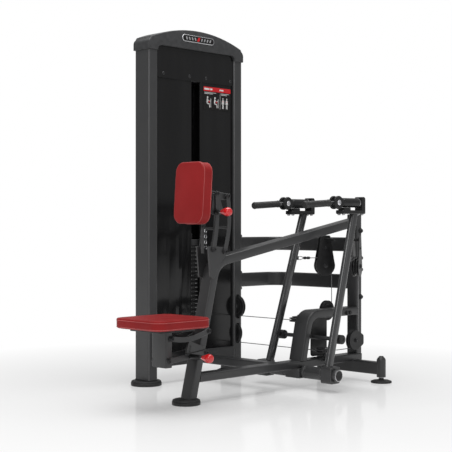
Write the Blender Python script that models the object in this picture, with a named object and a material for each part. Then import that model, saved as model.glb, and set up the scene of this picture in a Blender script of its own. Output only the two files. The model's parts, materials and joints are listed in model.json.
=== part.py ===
"""Chest-supported seated row machine with a weight-stack tower.

X is the way the user faces, Y points towards the tower and Z is up. Sizes are in metres. Points are
written from the middle of the front foot, and the empty "machine" then moves everything so that the
origin lies on the floor in the middle of the machine's plan.
"""

import math

import bmesh
import bpy
from mathutils import Matrix, Vector

# ---------------------------------------------------------------- driving dimensions
GAP = 0.0003
ORIGIN = Vector((0.5513, 0.2323, 0.0))

# Tower
POST_X, POST_Y, WALL = 0.070, 0.128, 0.003
TOWER_LEFT, TOWER_RIGHT = 0.284, 1.075
TOWER_FRONT = 0.630
TOWER_BACK = TOWER_FRONT + POST_Y
POST_TOP = 2.045
CAP_BOTTOM, CAP_END, CAP_PEAK = 2.007, 2.080, 2.158
CAP_OVERHANG, CAP_WALL = 0.008, 0.0035
OPENING_TOP = 2.039
BAY_LEFT = TOWER_LEFT + POST_X + GAP
BAY_RIGHT = TOWER_RIGHT - POST_X - GAP
RAIL_LOW, RAIL_HIGH = 0.105, 0.185
PANEL_Y, PANEL_THICK, PANEL_TOP = 0.650, 0.003, 1.868
SLOT_LEFT, SLOT_RIGHT = 0.648, 0.716
PLACARD = (0.749, 0.990, 1.683, 1.828)
BADGE = (0.545, 0.815, 2.0835, 2.1265)
HEADER_LOW, HEADER_HIGH = 1.848, 2.040

# Weight stack
STACK_X, STACK_Y = 0.680, 0.705
PLATE_W, PLATE_D, PLATE_PITCH = 0.340, 0.080, 0.025
STACK_LOW = 0.235
PLATES_LEFT, PLATES_LIFTED = 16, 8
ROD_SPAN, ROD_R, ROD_HOLE = 0.130, 0.010, 0.0125
SELECTOR_R, SELECTOR_HOLE, PIN_R = 0.011, 0.0135, 0.0045

# Frame
TUBE_W, TUBE_T = 0.080, 0.050
POST_FOOT_X, POST_LEAN = 0.0109, 0.2464
BEAM_AT, BEAM_SLOPE, MAIN_BEND = (0.250, 0.7646), 0.182, 0.120
LOW_BEAM_LOW, LOW_BEAM_HIGH = 0.115, 0.160
UPRIGHT_X, UPRIGHT_TOP = 1.4136, 1.027
CROSS_X, CROSS_HALF, CROSS_LOW, CROSS_HIGH = 1.401, 0.238, 0.0486, 0.124
LINK_BEAM_LEFT, LINK_BEAM_RIGHT = 0.681, 0.759
CURVED_Y, CURVED_TALL, CURVED_BEND = 0.680, 0.088, 0.110
CURVED_LOW = {"curved_beam_lower": 0.560, "curved_beam_upper": 0.794}
ARCH_HALF, ARCH_T, ARCH_TOP, ARCH_BEND = 0.052, 0.048, 0.450, 0.085
ARCH_FOOT_X, ARCH_LEAN = 0.880, 0.232

# Levers, from the pivot shaft up to the handle brackets
PIVOT_X, PIVOT_Z = 0.8966, 0.096
SHAFT_R, SLEEVE_R = 0.020, 0.037
SLEEVE_IN, CLAMP_IN, CLAMP_OUT, LEVER_END = 0.0573, 0.215, 0.293, 0.322
LEVER_TOP = (1.183, 1.030)
LEVER_LOW_Y, LEVER_TOP_Y = 0.233, 0.199
LEVER_DEEP, LEVER_WIDE, LEVER_WALL = 0.056, 0.036, 0.003
BUMPER_Z, BUMPER_R, STOP_HALF = 0.290, 0.0275, 0.200
BRACKET_LOW, BRACKET_PLATE = 1.026, 0.022
BRACKET_FRONT, BRACKET_BACK, BRACKET_WIDE = 1.045, 1.261, 0.060
BARREL_Z, BARREL_R, KNUCKLE_X, KNUCKLE_R = 1.092, 0.028, 1.016, 0.040
GRIP_NEAR, GRIP_TIP, GRIP_R, GRIP_DROOP = 0.950, 0.730, 0.020, math.radians(3.4)

# Cable and pulleys
CABLE_R = 0.0025
LUG = Vector((1.150, 0.207, 0.755))
RUN_X = 1.040
RUN_Z = {"left": 0.379, "right": 0.209}
PULLEY_R, PULLEY_CABLE_R, PULLEY_HALF, AXLE_R = 0.059, 0.048, 0.011, 0.008
SIDE_R, SIDE_CABLE_R = 0.072, 0.058
SIDE_Y = {"left": 0.644, "right": 0.672}
TOP_PULLEY_Z = 1.975
FRAME_PULLEY = Vector((1.302, 0.128, 0.707))
HOUSING_R, CHEEK_T, CHEEK_AT = 0.063, 0.005, 0.017

# Seat and its parallel links
SEAT_LOW, SEAT_HIGH = 0.420, 0.480
SEAT_FRONT, SEAT_BACK, SEAT_HALF, SEAT_CORNER = -0.362, 0.028, 0.184, 0.060
SEAT_UPPER_PIN, SEAT_LOWER_PIN = (0.110, 0.390), (0.090, 0.275)
SEAT_LINK = (-0.270, -0.024)
SEAT_PLUNGER_AT = 0.115
LINK_IN, LINK_T = 0.0555, 0.006
CARRIER_FRONT, CARRIER_BACK, CARRIER_HALF = -0.196, -0.148, 0.055

# Chest pad and its parallel links
PAD_FRONT, PAD_HALF, PAD_LOW, PAD_HIGH, PAD_THICK = -0.002, 0.1127, 0.963, 1.306, 0.078
PAD_TILT = math.radians(4.0)
CHEST_FRONT_PIN, CHEST_REAR_PIN = (0.156, 0.827), (0.241, 0.815)
CHEST_LINK = (0.023, 0.305)
GUSSET_OUT, INDEX_TOP = 0.0485, 0.947
CHEST_PLUNGER = (0.176, 1.031)
PIN_BOLT_R = 0.008

# ---------------------------------------------------------------- scene and materials
for old in list(bpy.data.objects):
    bpy.data.objects.remove(old, do_unlink=True)


def material(name, colour, roughness, metallic=0.0):
    made = bpy.data.materials.new(name)
    made.use_nodes = True
    shader = made.node_tree.nodes["Principled BSDF"]
    shader.inputs["Base Color"].default_value = (*colour, 1.0)
    shader.inputs["Roughness"].default_value = roughness
    shader.inputs["Metallic"].default_value = metallic
    return made


POWDER = material("frame_powder_coat", (0.055, 0.056, 0.058), 0.45, 0.2)
PANEL = material("panel_black", (0.012, 0.012, 0.013), 0.25)
MOULDED = material("cap_plastic", (0.040, 0.041, 0.043), 0.5)
RUBBER = material("black_rubber", (0.008, 0.008, 0.008), 0.7)
NYLON = material("pulley_nylon", (0.012, 0.012, 0.012), 0.4)
CHROME = material("chrome", (0.80, 0.80, 0.82), 0.12, 1.0)
CAST = material("weight_plate", (0.020, 0.020, 0.021), 0.5, 0.3)
CABLE = material("coated_cable", (0.12, 0.12, 0.12), 0.35)
RED_PAD = material("red_upholstery", (0.30, 0.022, 0.024), 0.5)
RED_KNOB = material("red_knob", (0.60, 0.010, 0.012), 0.3)

machine = bpy.data.objects.new("machine", None)
machine.location = -ORIGIN
bpy.context.collection.objects.link(machine)
pivots = {}


def pivot(name, x, y, z):
    """An empty on a joint's axis. What moves with the joint hangs from it."""
    empty = bpy.data.objects.new(name, None)
    empty.location = (x, y, z)
    empty.parent = machine
    bpy.context.collection.objects.link(empty)
    pivots[name] = empty
    return empty


def add(name, bm, stuff, parent=None):
    """Makes an object of a mesh written in machine coordinates, and hangs it from its pivot."""
    bmesh.ops.recalc_face_normals(bm, faces=bm.faces)
    mesh = bpy.data.meshes.new(name)
    if parent is not None:
        bm.transform(Matrix.Translation(-parent.location))
    bm.to_mesh(mesh)
    bm.free()
    mesh.shade_smooth()
    mesh.set_sharp_from_angle(angle=math.radians(35))
    mesh.materials.append(stuff)
    made = bpy.data.objects.new(name, mesh)
    made.parent = parent or machine
    bpy.context.collection.objects.link(made)
    return made


def helper(name, bm, parent=None):
    """A solid that only joins or cuts another one."""
    made = add(name, bm, POWDER, parent)
    made.hide_render = True
    made.display_type = "WIRE"
    return made


def boolean(target, operation, tools):
    """Joins helper solids to the target, or cuts them from it, one after another."""
    for tool in tools:
        modifier = target.modifiers.new(operation.lower(), "BOOLEAN")
        modifier.operation = operation
        modifier.solver = "EXACT"
        modifier.object = tool


def fuse(target, bodies, parent=None):
    names = [f"{target.name}_join_{n}" for n in range(len(bodies))]
    boolean(target, "UNION", [helper(n, bm, parent) for n, bm in zip(names, bodies)])


def cut(target, bodies, parent=None):
    names = [f"{target.name}_cut_{n}" for n in range(len(bodies))]
    boolean(target, "DIFFERENCE", [helper(n, bm, parent) for n, bm in zip(names, bodies)])


# ---------------------------------------------------------------- outlines and solids
def arc(cx, cy, radius, start, end, steps):
    """Points on an arc, with its angles in degrees."""
    angles = [math.radians(start + (end - start) * n / steps) for n in range(steps + 1)]
    return [(cx + radius * math.cos(a), cy + radius * math.sin(a)) for a in angles]


def rounded(x0, y0, x1, y1, radius, steps=2):
    corners = [(x1, y1, 0), (x0, y1, 90), (x0, y0, 180), (x1, y0, 270)]
    out = []
    for x, y, start in corners:
        cx = x - math.copysign(radius, x - (x0 + x1) / 2)
        cy = y - math.copysign(radius, y - (y0 + y1) / 2)
        out += arc(cx, cy, radius, start, start + 90, steps)
    return out


def capsule(a, b, radius, steps=5):
    """An outline with round ends about the points a and b."""
    turn = math.degrees(math.atan2(b[1] - a[1], b[0] - a[0]))
    return arc(*b, radius, turn - 90, turn + 90, steps) + arc(*a, radius, turn + 90, turn + 270, steps)


def bowed_bar(a, b, half, bow, steps=6):
    """The outline of a flat bar whose middle lies off the line from a to b by bow, to its right."""
    start, end = Vector(a), Vector(b)
    along = (end - start).normalized()
    side = Vector((along.y, -along.x))
    middle = [
        start.lerp(end, n / steps) + side * bow * math.sin(math.pi * n / steps) for n in range(steps + 1)
    ]
    turn = math.degrees(math.atan2(along.y, along.x))
    lean = math.degrees(math.atan(bow * math.pi / (end - start).length))
    right = [tuple(p + side * half) for p in middle[1:-1]]
    left = [tuple(p - side * half) for p in reversed(middle[1:-1])]
    top = arc(*b, half, turn - 90 + lean, turn + 90 + lean, 4)
    foot = arc(*a, half, turn + 90 - lean, turn + 270 - lean, 4)
    return right + top + left + foot


def prism(outline, axis, low, high):
    """Stretches an outline along an axis. Its two numbers are the other two axes, in X, Y, Z order."""
    place = {
        "X": lambda a, b, t: (t, a, b),
        "Y": lambda a, b, t: (a, t, b),
        "Z": lambda a, b, t: (a, b, t),
    }[axis]
    bm = bmesh.new()
    face = bm.faces.new([bm.verts.new(place(a, b, low)) for a, b in outline])
    made = bmesh.ops.extrude_face_region(bm, geom=[face])
    step = Vector(place(0, 0, high)) - Vector(place(0, 0, low))
    bmesh.ops.translate(bm, vec=step, verts=[v for v in made["geom"] if isinstance(v, bmesh.types.BMVert)])
    return bm


def block(x0, x1, y0, y1, z0, z1):
    return prism([(x0, y0), (x1, y0), (x1, y1), (x0, y1)], "Z", z0, z1)


def turned(profile, centre, axis, segments=16):
    """Turns a closed profile of (radius, distance along the axis) about an axis through the centre."""
    turn = Vector((0, 0, 1)).rotation_difference(Vector(axis)).to_matrix()
    bm = bmesh.new()
    rings = []
    for radius, height in profile:
        if radius == 0:
            rings.append([bm.verts.new(Vector(centre) + turn @ Vector((0, 0, height)))])
            continue
        ring = []
        for n in range(segments):
            angle = 2 * math.pi * n / segments
            spot = Vector((radius * math.cos(angle), radius * math.sin(angle), height))
            ring.append(bm.verts.new(Vector(centre) + turn @ spot))
        rings.append(ring)
    hollow = profile[0][0] > 0
    pairs = list(zip(rings, rings[1:] + rings[:1])) if hollow else list(zip(rings, rings[1:]))
    for one, two in pairs:
        for n in range(segments):
            corners = [one[n % len(one)], one[(n + 1) % len(one)], two[(n + 1) % len(two)], two[n % len(two)]]
            bm.faces.new(list(dict.fromkeys(corners)))
    return bm


def rod(start, end, radius, segments=12):
    """A plain round bar between two points."""
    start, end = Vector(start), Vector(end)
    long = (end - start).length
    return turned(
        [(0, 0), (radius, 0), (radius, long), (0, long)], start, (end - start).normalized(), segments
    )


def tube(points, side, outer, inner, start_cut=None, end_cut=None):
    """A hollow tube along a flat path.

    side is the direction square to the path's plane. outer and inner are sections, as (distance along
    side, distance along the path's own normal), and outer has a whole number of points for each of
    inner's. A cut is the direction that an end face looks along, where it isn't square to the path.
    """
    points, side = [Vector(p) for p in points], Vector(side)
    ways = [(b - a).normalized() for a, b in zip(points, points[1:])]
    bm = bmesh.new()
    skins = []
    for section in (outer, inner):
        rings = []
        for n, point in enumerate(points):
            before, after = ways[max(n - 1, 0)], ways[min(n, len(ways) - 1)]
            look = (before + after).normalized()
            if n == 0 and start_cut:
                look = Vector(start_cut).normalized()
            if n == len(points) - 1 and end_cut:
                look = Vector(end_cut).normalized()
            lean = side.cross(look).normalized()
            lean /= lean.dot(side.cross(after))
            rings.append([bm.verts.new(point + side * s + lean * t) for s, t in section])
        skins.append(rings)
    for rings in skins:
        count = len(rings[0])
        for one, two in zip(rings, rings[1:]):
            for n in range(count):
                bm.faces.new([one[n], one[(n + 1) % count], two[(n + 1) % count], two[n]])
    count, share = len(outer), len(outer) // len(inner)
    for end in (0, -1):
        one, two = skins[0][end], skins[1][end]
        for n in range(count):
            after = (n + 1) % count
            corners = [one[n], one[after], two[after // share], two[n // share]]
            bm.faces.new(list(dict.fromkeys(corners)))
    return bm


def box_tube(points, side, wide, thick, corner=0.006, wall=WALL, **cuts):
    """A box tube: wide along side, thick in the path's plane, with rounded corners."""
    outer = rounded(-wide / 2, -thick / 2, wide / 2, thick / 2, corner)
    half_wide, half_thick = wide / 2 - wall, thick / 2 - wall
    inner = [
        (half_wide, half_thick),
        (-half_wide, half_thick),
        (-half_wide, -half_thick),
        (half_wide, -half_thick),
    ]
    return tube(points, side, outer, inner, **cuts)


def bend(before, corner, after, radius, steps=6):
    """The points of a round bend at a corner of a path."""
    corner = Vector(corner)
    a, b = (Vector(before) - corner).normalized(), (Vector(after) - corner).normalized()
    half = a.angle(b) / 2
    centre = corner + (a + b).normalized() * radius / math.sin(half)
    start = corner + a * radius / math.tan(half) - centre
    end = corner + b * radius / math.tan(half) - centre
    sweep = start.angle(end)
    axis = start.cross(end).normalized()
    return [centre + Matrix.Rotation(sweep * n / steps, 3, axis) @ start for n in range(steps + 1)]


# ---------------------------------------------------------------- tower
def tower_frame():
    middle_y = (TOWER_FRONT + TOWER_BACK) / 2
    for side, left in (("left", TOWER_LEFT), ("right", TOWER_RIGHT - POST_X)):
        x = left + POST_X / 2
        path = [(x, middle_y, FOOT_TOP + GAP), (x, middle_y, POST_TOP)]
        post = add(f"tower_post_{side}", box_tube(path, (1, 0, 0), POST_X, POST_Y, 0.010), POWDER)
        if side == "right":
            finish_right_post(post)
        rubber_foot(f"tower_foot_{side}", x, middle_y, 0.0925)
    rail_y = (TOWER_FRONT + 0.004, TOWER_FRONT + 0.084)
    rail = prism(rounded(rail_y[0], RAIL_LOW, rail_y[1], RAIL_HIGH, 0.006), "X", BAY_LEFT, BAY_RIGHT)
    base = add("base_rail", rail, POWDER)
    ledge = block(STACK_X - 0.17, STACK_X + 0.17, rail_y[1] - 0.005, STACK_Y + 0.045, 0.150, RAIL_HIGH)
    cushions = [
        rod(
            (STACK_X + s * ROD_SPAN, STACK_Y, RAIL_HIGH - 0.01),
            (STACK_X + s * ROD_SPAN, STACK_Y, STACK_LOW - GAP),
            0.030,
        )
        for s in (-1, 1)
    ]
    fuse(base, [ledge, *cushions])
    hollow = block(
        BAY_LEFT - 0.01, BAY_RIGHT + 0.01, rail_y[0] + 0.004, rail_y[1] - 0.009, RAIL_LOW + 0.004,
        RAIL_HIGH - 0.004,
    )
    sockets = [
        rod((STACK_X + s * ROD_SPAN, STACK_Y, 0.170), (STACK_X + s * ROD_SPAN, STACK_Y, 0.30), ROD_R + GAP)
        for s in (-1, 1)
    ]
    well = rod((STACK_X, STACK_Y, 0.165), (STACK_X, STACK_Y, 0.30), SELECTOR_HOLE)
    cut(base, [hollow, *sockets, well])


def finish_right_post(post):
    """Adds the side pulleys' axles, and cuts their slots and the window for the cables."""
    axles = []
    slots = []
    for side in ("left", "right"):
        y, z = SIDE_Y[side], RUN_Z[side] + SIDE_CABLE_R
        axles.append(rod((TOWER_RIGHT - POST_X + 0.001, y, z), (TOWER_RIGHT + 0.002, y, z), AXLE_R))
        deep = y - TOWER_FRONT
        half = math.sqrt(SIDE_R**2 - deep**2) + 0.006
        slots.append(
            block(RUN_X - 0.014, RUN_X + 0.014, TOWER_FRONT - 0.01, TOWER_FRONT + 0.006, z - half, z + half)
        )
    slots.append(block(BAY_RIGHT - 0.01, BAY_RIGHT + 0.008, 0.684, 0.748, 1.900, POST_TOP + 0.01))
    fuse(post, axles)
    cut(post, slots)


def cap_outline(grow):
    """The cap's front outline, with its sides moved in by -grow and its opening moved up likewise."""
    left, right = TOWER_LEFT - CAP_OVERHANG - grow, TOWER_RIGHT + CAP_OVERHANG + grow
    middle = (left + right) / 2
    half = (right - left) / 2
    corner = 0.030 + grow
    rise = CAP_PEAK - CAP_END
    chord = half - 0.010
    radius = (chord**2 + rise**2) / (2 * rise)
    sweep = math.degrees(math.asin(chord / radius)) * 0.96
    top = arc(middle, CAP_PEAK - radius, radius + grow, 90 - sweep, 90 + sweep, 14)
    right_corner = arc(right - corner, CAP_END - 0.036, corner, 0, 58, 4)
    left_corner = arc(left + corner, CAP_END - 0.036, corner, 122, 180, 4)
    return right_corner + top + left_corner, left, right


def tower_cap():
    shell, left, right = cap_outline(0.0)
    opening_left, opening_right = BAY_LEFT - GAP, BAY_RIGHT + GAP
    soffit = arc(opening_left + 0.028, OPENING_TOP - 0.028, 0.028, 180, 90, 4)
    soffit += arc(opening_right - 0.028, OPENING_TOP - 0.028, 0.028, 90, 0, 4)
    legs = [(left, CAP_BOTTOM), (opening_left, CAP_BOTTOM)] + soffit
    legs += [(opening_right, CAP_BOTTOM), (right, CAP_BOTTOM)]
    low, high = TOWER_FRONT - CAP_OVERHANG, TOWER_BACK + CAP_OVERHANG
    cap = add("tower_cap", prism(shell + legs, "Y", low, high), MOULDED)
    hollow, left, right = cap_outline(-CAP_WALL)
    hollow += [(left, CAP_BOTTOM - 0.01), (right, CAP_BOTTOM - 0.01)]
    cut(cap, [prism(hollow, "Y", low + CAP_WALL, high - CAP_WALL)])
    badge = rounded(BADGE[0], BADGE[2], BADGE[1], BADGE[3], (BADGE[3] - BADGE[2]) / 2 - 1e-5, 4)
    add("badge", prism(badge, "Y", low - 0.0045, low - GAP), CHROME)


def sheet_outline(line, thick):
    """A sheet's plan: the line of its front face, and the same line set back by the thickness."""
    return line + [(x, y + thick) for x, y in reversed(line)]


def tower_panels():
    header = arc(BAY_LEFT + 0.022, HEADER_LOW + 0.022, 0.022, 180, 270, 4)
    header += arc(BAY_RIGHT - 0.022, HEADER_LOW + 0.022, 0.022, 270, 360, 4)
    header += [(BAY_RIGHT, HEADER_HIGH), (BAY_LEFT, HEADER_HIGH)]
    header_y = PANEL_Y - 0.0055
    add("header_panel", prism(header, "Y", header_y - PANEL_THICK, header_y), PANEL)
    bulge_left, bulge_right, bow = 0.440, 0.640, 0.004
    steps = 8
    line = [(BAY_LEFT, PANEL_Y)]
    for n in range(steps + 1):
        x = bulge_left + (bulge_right - bulge_left) * n / steps
        line.append((x, PANEL_Y - bow * math.sin(math.pi * n / steps) ** 2))
    line.append((SLOT_LEFT, PANEL_Y))
    low = RAIL_HIGH + GAP
    panel = add("front_panel", prism(sheet_outline(line, PANEL_THICK), "Z", low, PANEL_TOP), PANEL)
    edge = BAY_RIGHT - 0.0003
    right = [(SLOT_RIGHT, PANEL_Y - 0.005), (0.734, PANEL_Y - 0.005), (0.737, PANEL_Y), (edge, PANEL_Y)]
    right += [(edge, PANEL_Y + PANEL_THICK), (SLOT_RIGHT, PANEL_Y + PANEL_THICK)]
    strap = block(
        SLOT_LEFT - 0.010, SLOT_RIGHT + 0.010, PANEL_Y + 0.001, PANEL_Y + PANEL_THICK + 0.001,
        PANEL_TOP - 0.018, PANEL_TOP,
    )
    fuse(panel, [prism(right, "Z", low, PANEL_TOP), strap])
    placard = rounded(PLACARD[0], PLACARD[2], PLACARD[1], PLACARD[3], 0.004, 1)
    add("placard", prism(placard, "Y", PANEL_Y - 0.0023, PANEL_Y - GAP), PANEL)
    back = TOWER_BACK - 0.004
    add(
        "rear_panel",
        block(BAY_LEFT, BAY_RIGHT, back - PANEL_THICK, back, RAIL_HIGH + GAP, HEADER_HIGH),
        PANEL,
    )


def top_rail():
    """The cross rail that holds the guide rods and the two double pulleys."""
    y0, y1 = 0.662, 0.746
    rail = add("top_rail", block(BAY_LEFT, BAY_RIGHT, y0, y1, 1.850, 1.885), POWDER)
    cheeks = []
    for x in TOP_PULLEY_X:
        for y in (y0, y1 - 0.0045):
            cheeks.append(block(x - 0.025, x + 0.0115, y, y + 0.005, 1.875, TOP_PULLEY_Z + 0.020))
        cheeks.append(rod((x, y0 + 0.002, TOP_PULLEY_Z), (x, y1 - 0.002, TOP_PULLEY_Z), AXLE_R))
    fuse(rail, cheeks)
    hollow = block(BAY_LEFT - 0.01, BAY_RIGHT + 0.01, y0 + 0.003, y1 - 0.003, 1.854, 1.881)
    window = block(STACK_X - 0.012, STACK_X + 0.012, 0.694, 0.738, 1.840, 1.895)
    sockets = [
        rod((STACK_X + s * ROD_SPAN, STACK_Y, 1.840), (STACK_X + s * ROD_SPAN, STACK_Y, 1.895), ROD_R + GAP)
        for s in (-1, 1)
    ]
    cut(rail, [hollow, window, *sockets])
    for side, s in (("left", -1), ("right", 1)):
        x = STACK_X + s * ROD_SPAN
        add(f"guide_rod_{side}", rod((x, STACK_Y, 0.170 + GAP), (x, STACK_Y, 1.890), ROD_R), CHROME)


def plate_pile(count, low):
    """A pile of weight plates as one solid: a groove marks where each plate meets the next."""
    half_w, half_d, groove = PLATE_W / 2, PLATE_D / 2, 0.0015
    side = []
    for n in range(count):
        bottom = low + n * PLATE_PITCH
        top = bottom + PLATE_PITCH
        side += [(-half_d, bottom + groove), (-half_d, top - groove)]
        if n < count - 1:
            side.append((-half_d + groove, top))
    side[0] = (-half_d, low)
    side[-1] = (-half_d, low + count * PLATE_PITCH)
    outline = [(STACK_Y + y, z) for y, z in side] + [(STACK_Y - y, z) for y, z in reversed(side)]
    return prism(outline, "X", STACK_X - half_w, STACK_X + half_w)


def bores(low, high):
    """Cutters for the guide rods' holes and the selector rod's hole."""
    made = [
        rod((STACK_X + s * ROD_SPAN, STACK_Y, low), (STACK_X + s * ROD_SPAN, STACK_Y, high), ROD_HOLE)
        for s in (-1, 1)
    ]
    return made + [rod((STACK_X, STACK_Y, low), (STACK_X, STACK_Y, high), SELECTOR_HOLE)]


def weight_stack():
    resting = add("weights_resting", plate_pile(PLATES_LEFT, STACK_LOW), CAST)
    cut(resting, bores(STACK_LOW - 0.01, LIFT_LOW + 0.01))
    lift = pivot("stack_lift", STACK_X, STACK_Y, LIFT_LOW)
    lifted = add("weights_lifted", plate_pile(PLATES_LIFTED, LIFT_LOW), CAST, lift)
    pin_z = LIFT_LOW + PLATE_PITCH / 2
    pin_hole = rod((STACK_X, STACK_Y - 0.060, pin_z), (STACK_X, STACK_Y + 0.016, pin_z), PIN_R + 0.001)
    cut(lifted, bores(LIFT_LOW - 0.01, HEAD_LOW + 0.01) + [pin_hole], lift)
    head = block(
        STACK_X - PLATE_W / 2, STACK_X + PLATE_W / 2, STACK_Y - PLATE_D / 2, STACK_Y + PLATE_D / 2,
        HEAD_LOW, HEAD_HIGH,
    )
    head = add("stack_head", head, CAST, lift)
    shank = rod((STACK_X, STACK_Y, STACK_LOW + 0.030), (STACK_X, STACK_Y, HEAD_LOW + 0.010), SELECTOR_R)
    yoke = block(STACK_X - 0.014, STACK_X + 0.014, 0.692, 0.740, HEAD_HIGH - 0.005, YOKE_TOP)
    fuse(head, [shank, yoke], lift)
    pin_way = rod((STACK_X, STACK_Y - 0.060, pin_z), (STACK_X, STACK_Y + 0.060, pin_z), PIN_R + 0.001)
    cut(head, bores(HEAD_LOW - 0.002, HEAD_HIGH + 0.01)[:2] + [pin_way], lift)
    out = pivot("pin_pull", STACK_X, STACK_Y - PLATE_D / 2, pin_z)
    profile = [
        (0, 0), (0.006, 0), (0.013, 0.004), (0.013, 0.020), (0.008, 0.026), (PIN_R, 0.030), (PIN_R, 0.094),
        (0, 0.096),
    ]
    add("selector_pin", turned(profile, (STACK_X, 0.615, pin_z), (0, 1, 0), 12), RUBBER, out)


# ---------------------------------------------------------------- frame
def rubber_foot(name, x, y, radius):
    profile = [(0, 0), (radius, 0), (radius, 0.020), (radius - 0.008, FOOT_TOP), (0, FOOT_TOP)]
    add(name, turned(profile, (x, y, 0), (0, 0, 1), 16), RUBBER)


def post_middle(z):
    return POST_FOOT_X + POST_LEAN * z


def main_tube():
    """The front post and the sloping beam, one bent tube, with the plates and bar that carry the pads."""
    foot = (post_middle(FOOT_TOP + GAP), 0, FOOT_TOP + GAP)
    corner_z = (BEAM_AT[1] + BEAM_SLOPE * (POST_FOOT_X - BEAM_AT[0])) / (1 - BEAM_SLOPE * POST_LEAN)
    corner = (post_middle(corner_z), 0, corner_z)
    end_x = UPRIGHT_X - GAP
    end = (end_x, 0, BEAM_AT[1] + BEAM_SLOPE * (end_x - BEAM_AT[0]))
    path = [foot, *bend(foot, corner, end, MAIN_BEND, 5), end]
    body = box_tube(path, (0, 1, 0), TUBE_W, TUBE_T, 0.008, start_cut=(0, 0, 1), end_cut=(1, 0, 0))
    main = add("main_tube", body, POWDER)
    gusset = [(0.115, 0.846), (0.265, 0.838), (0.265, 0.800), (0.215, 0.760), (0.162, 0.668), (0.132, 0.680)]
    bodies = []
    for low, high in ((-GUSSET_OUT, -TUBE_W / 2 + 0.001), (TUBE_W / 2 - 0.001, GUSSET_OUT)):
        bodies.append(prism(gusset, "Y", low, high))
    for x, z in (CHEST_FRONT_PIN, CHEST_REAR_PIN):
        bodies.append(rod((x, -0.0595, z), (x, 0.0595, z), PIN_BOLT_R))
    bodies.append(block(0.119, 0.144, -0.011, 0.011, 0.806, INDEX_TOP))
    bodies.append(block(0.127, 0.155, -0.009, 0.009, 0.814, 0.840))
    reach = 0.0650
    for x, z in (SEAT_UPPER_PIN, SEAT_LOWER_PIN):
        bodies.append(rod((x, -reach, z), (x, reach, z), PIN_BOLT_R))
    x, z = SEAT_LOWER_PIN
    sector = [(x, z - 0.012)] + arc(x, z, SEAT_PLUNGER_AT + 0.020, 192, 148, 6) + [(x, z + 0.030)]
    bodies.append(prism(sector, "Y", -0.0525, -TUBE_W / 2 + 0.001))
    fuse(main, bodies)
    slope = math.degrees(math.atan2(SEAT_LINK[1], SEAT_LINK[0])) % 360
    holes = []
    for n in range(5):
        (hx, hz), = arc(x, z, SEAT_PLUNGER_AT, slope - 6.5 * n, slope - 6.5 * n + 1, 1)[:1]
        holes.append(rod((hx, -0.060, hz), (hx, -0.0435, hz), 0.0058, 10))
    cut(main, holes)
    rubber_foot("front_foot", 0, 0, 0.077)


def base_beam():
    """The low beam, with the beam to the tower, the rear cross beam and the lever pivot's shaft."""
    z = (LOW_BEAM_LOW + LOW_BEAM_HIGH) / 2
    lean = math.atan(POST_LEAN)
    start = post_middle(z) + (TUBE_T / 2 + 2 * GAP) / math.cos(lean)
    path = [(start, 0, z), (UPRIGHT_X + TUBE_T, 0, z)]
    tall = LOW_BEAM_HIGH - LOW_BEAM_LOW
    body = box_tube(path, (0, 1, 0), TUBE_W, tall, 0.007, start_cut=(math.cos(lean), 0, -math.sin(lean)))
    beam = add("base_beam", body, POWDER)
    section = rounded(CROSS_X - TUBE_T / 2, CROSS_LOW, CROSS_X + TUBE_T / 2, CROSS_HIGH, 0.007)
    bodies = [prism(section, "Y", -CROSS_HALF, CROSS_HALF)]
    stub = [(0, 0.034), (0.028, 0.034), (0.028, 0.139), (0.022, 0.151), (0.011, 0.158), (0, 0.160)]
    for s in (-1, 1):
        bodies.append(turned(stub, (CROSS_X, s * CROSS_HALF, 0), (0, 0, 1), 16))
    bodies.append(block(PIVOT_X - 0.042, PIVOT_X + 0.042, -0.054, 0.054, 0.060, LOW_BEAM_LOW + 0.002))
    bodies.append(rod((PIVOT_X, -0.285, PIVOT_Z), (PIVOT_X, 0.285, PIVOT_Z), SHAFT_R, 16))
    stud_y = DOWN_Y["right"] + PULLEY_CABLE_R
    bodies.append(block(CORNER_X - 0.028, CORNER_X + 0.028, stud_y - 0.020, -0.035, 0.146, 0.154))
    bodies.append(rod((CORNER_X, stud_y, 0.150), (CORNER_X, stud_y, 0.226), AXLE_R))
    x, z = (LINK_BEAM_LEFT + LINK_BEAM_RIGHT) / 2, 0.1345
    link = [(x, TUBE_W / 2 - 0.002, z), (x, TOWER_FRONT + 0.004 - GAP, z)]
    bodies.append(box_tube(link, (1, 0, 0), LINK_BEAM_RIGHT - LINK_BEAM_LEFT, 0.049, 0.007))
    fuse(beam, bodies)
    cut(
        beam,
        [rod((CROSS_X, s * CROSS_HALF, 0.020), (CROSS_X, s * CROSS_HALF, 0.110), 0.0085) for s in (-1, 1)],
    )
    foot = [
        (0, 0), (0.0635, 0), (0.0635, 0.008), (0.050, 0.015), (0.018, 0.020), (0.016, 0.028),
        (0.008, 0.029), (0.008, 0.070), (0, 0.070),
    ]
    for side, s in (("right", -1), ("left", 1)):
        add(f"levelling_foot_{side}", turned(foot, (CROSS_X, s * CROSS_HALF, 0), (0, 0, 1), 16), RUBBER)


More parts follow.
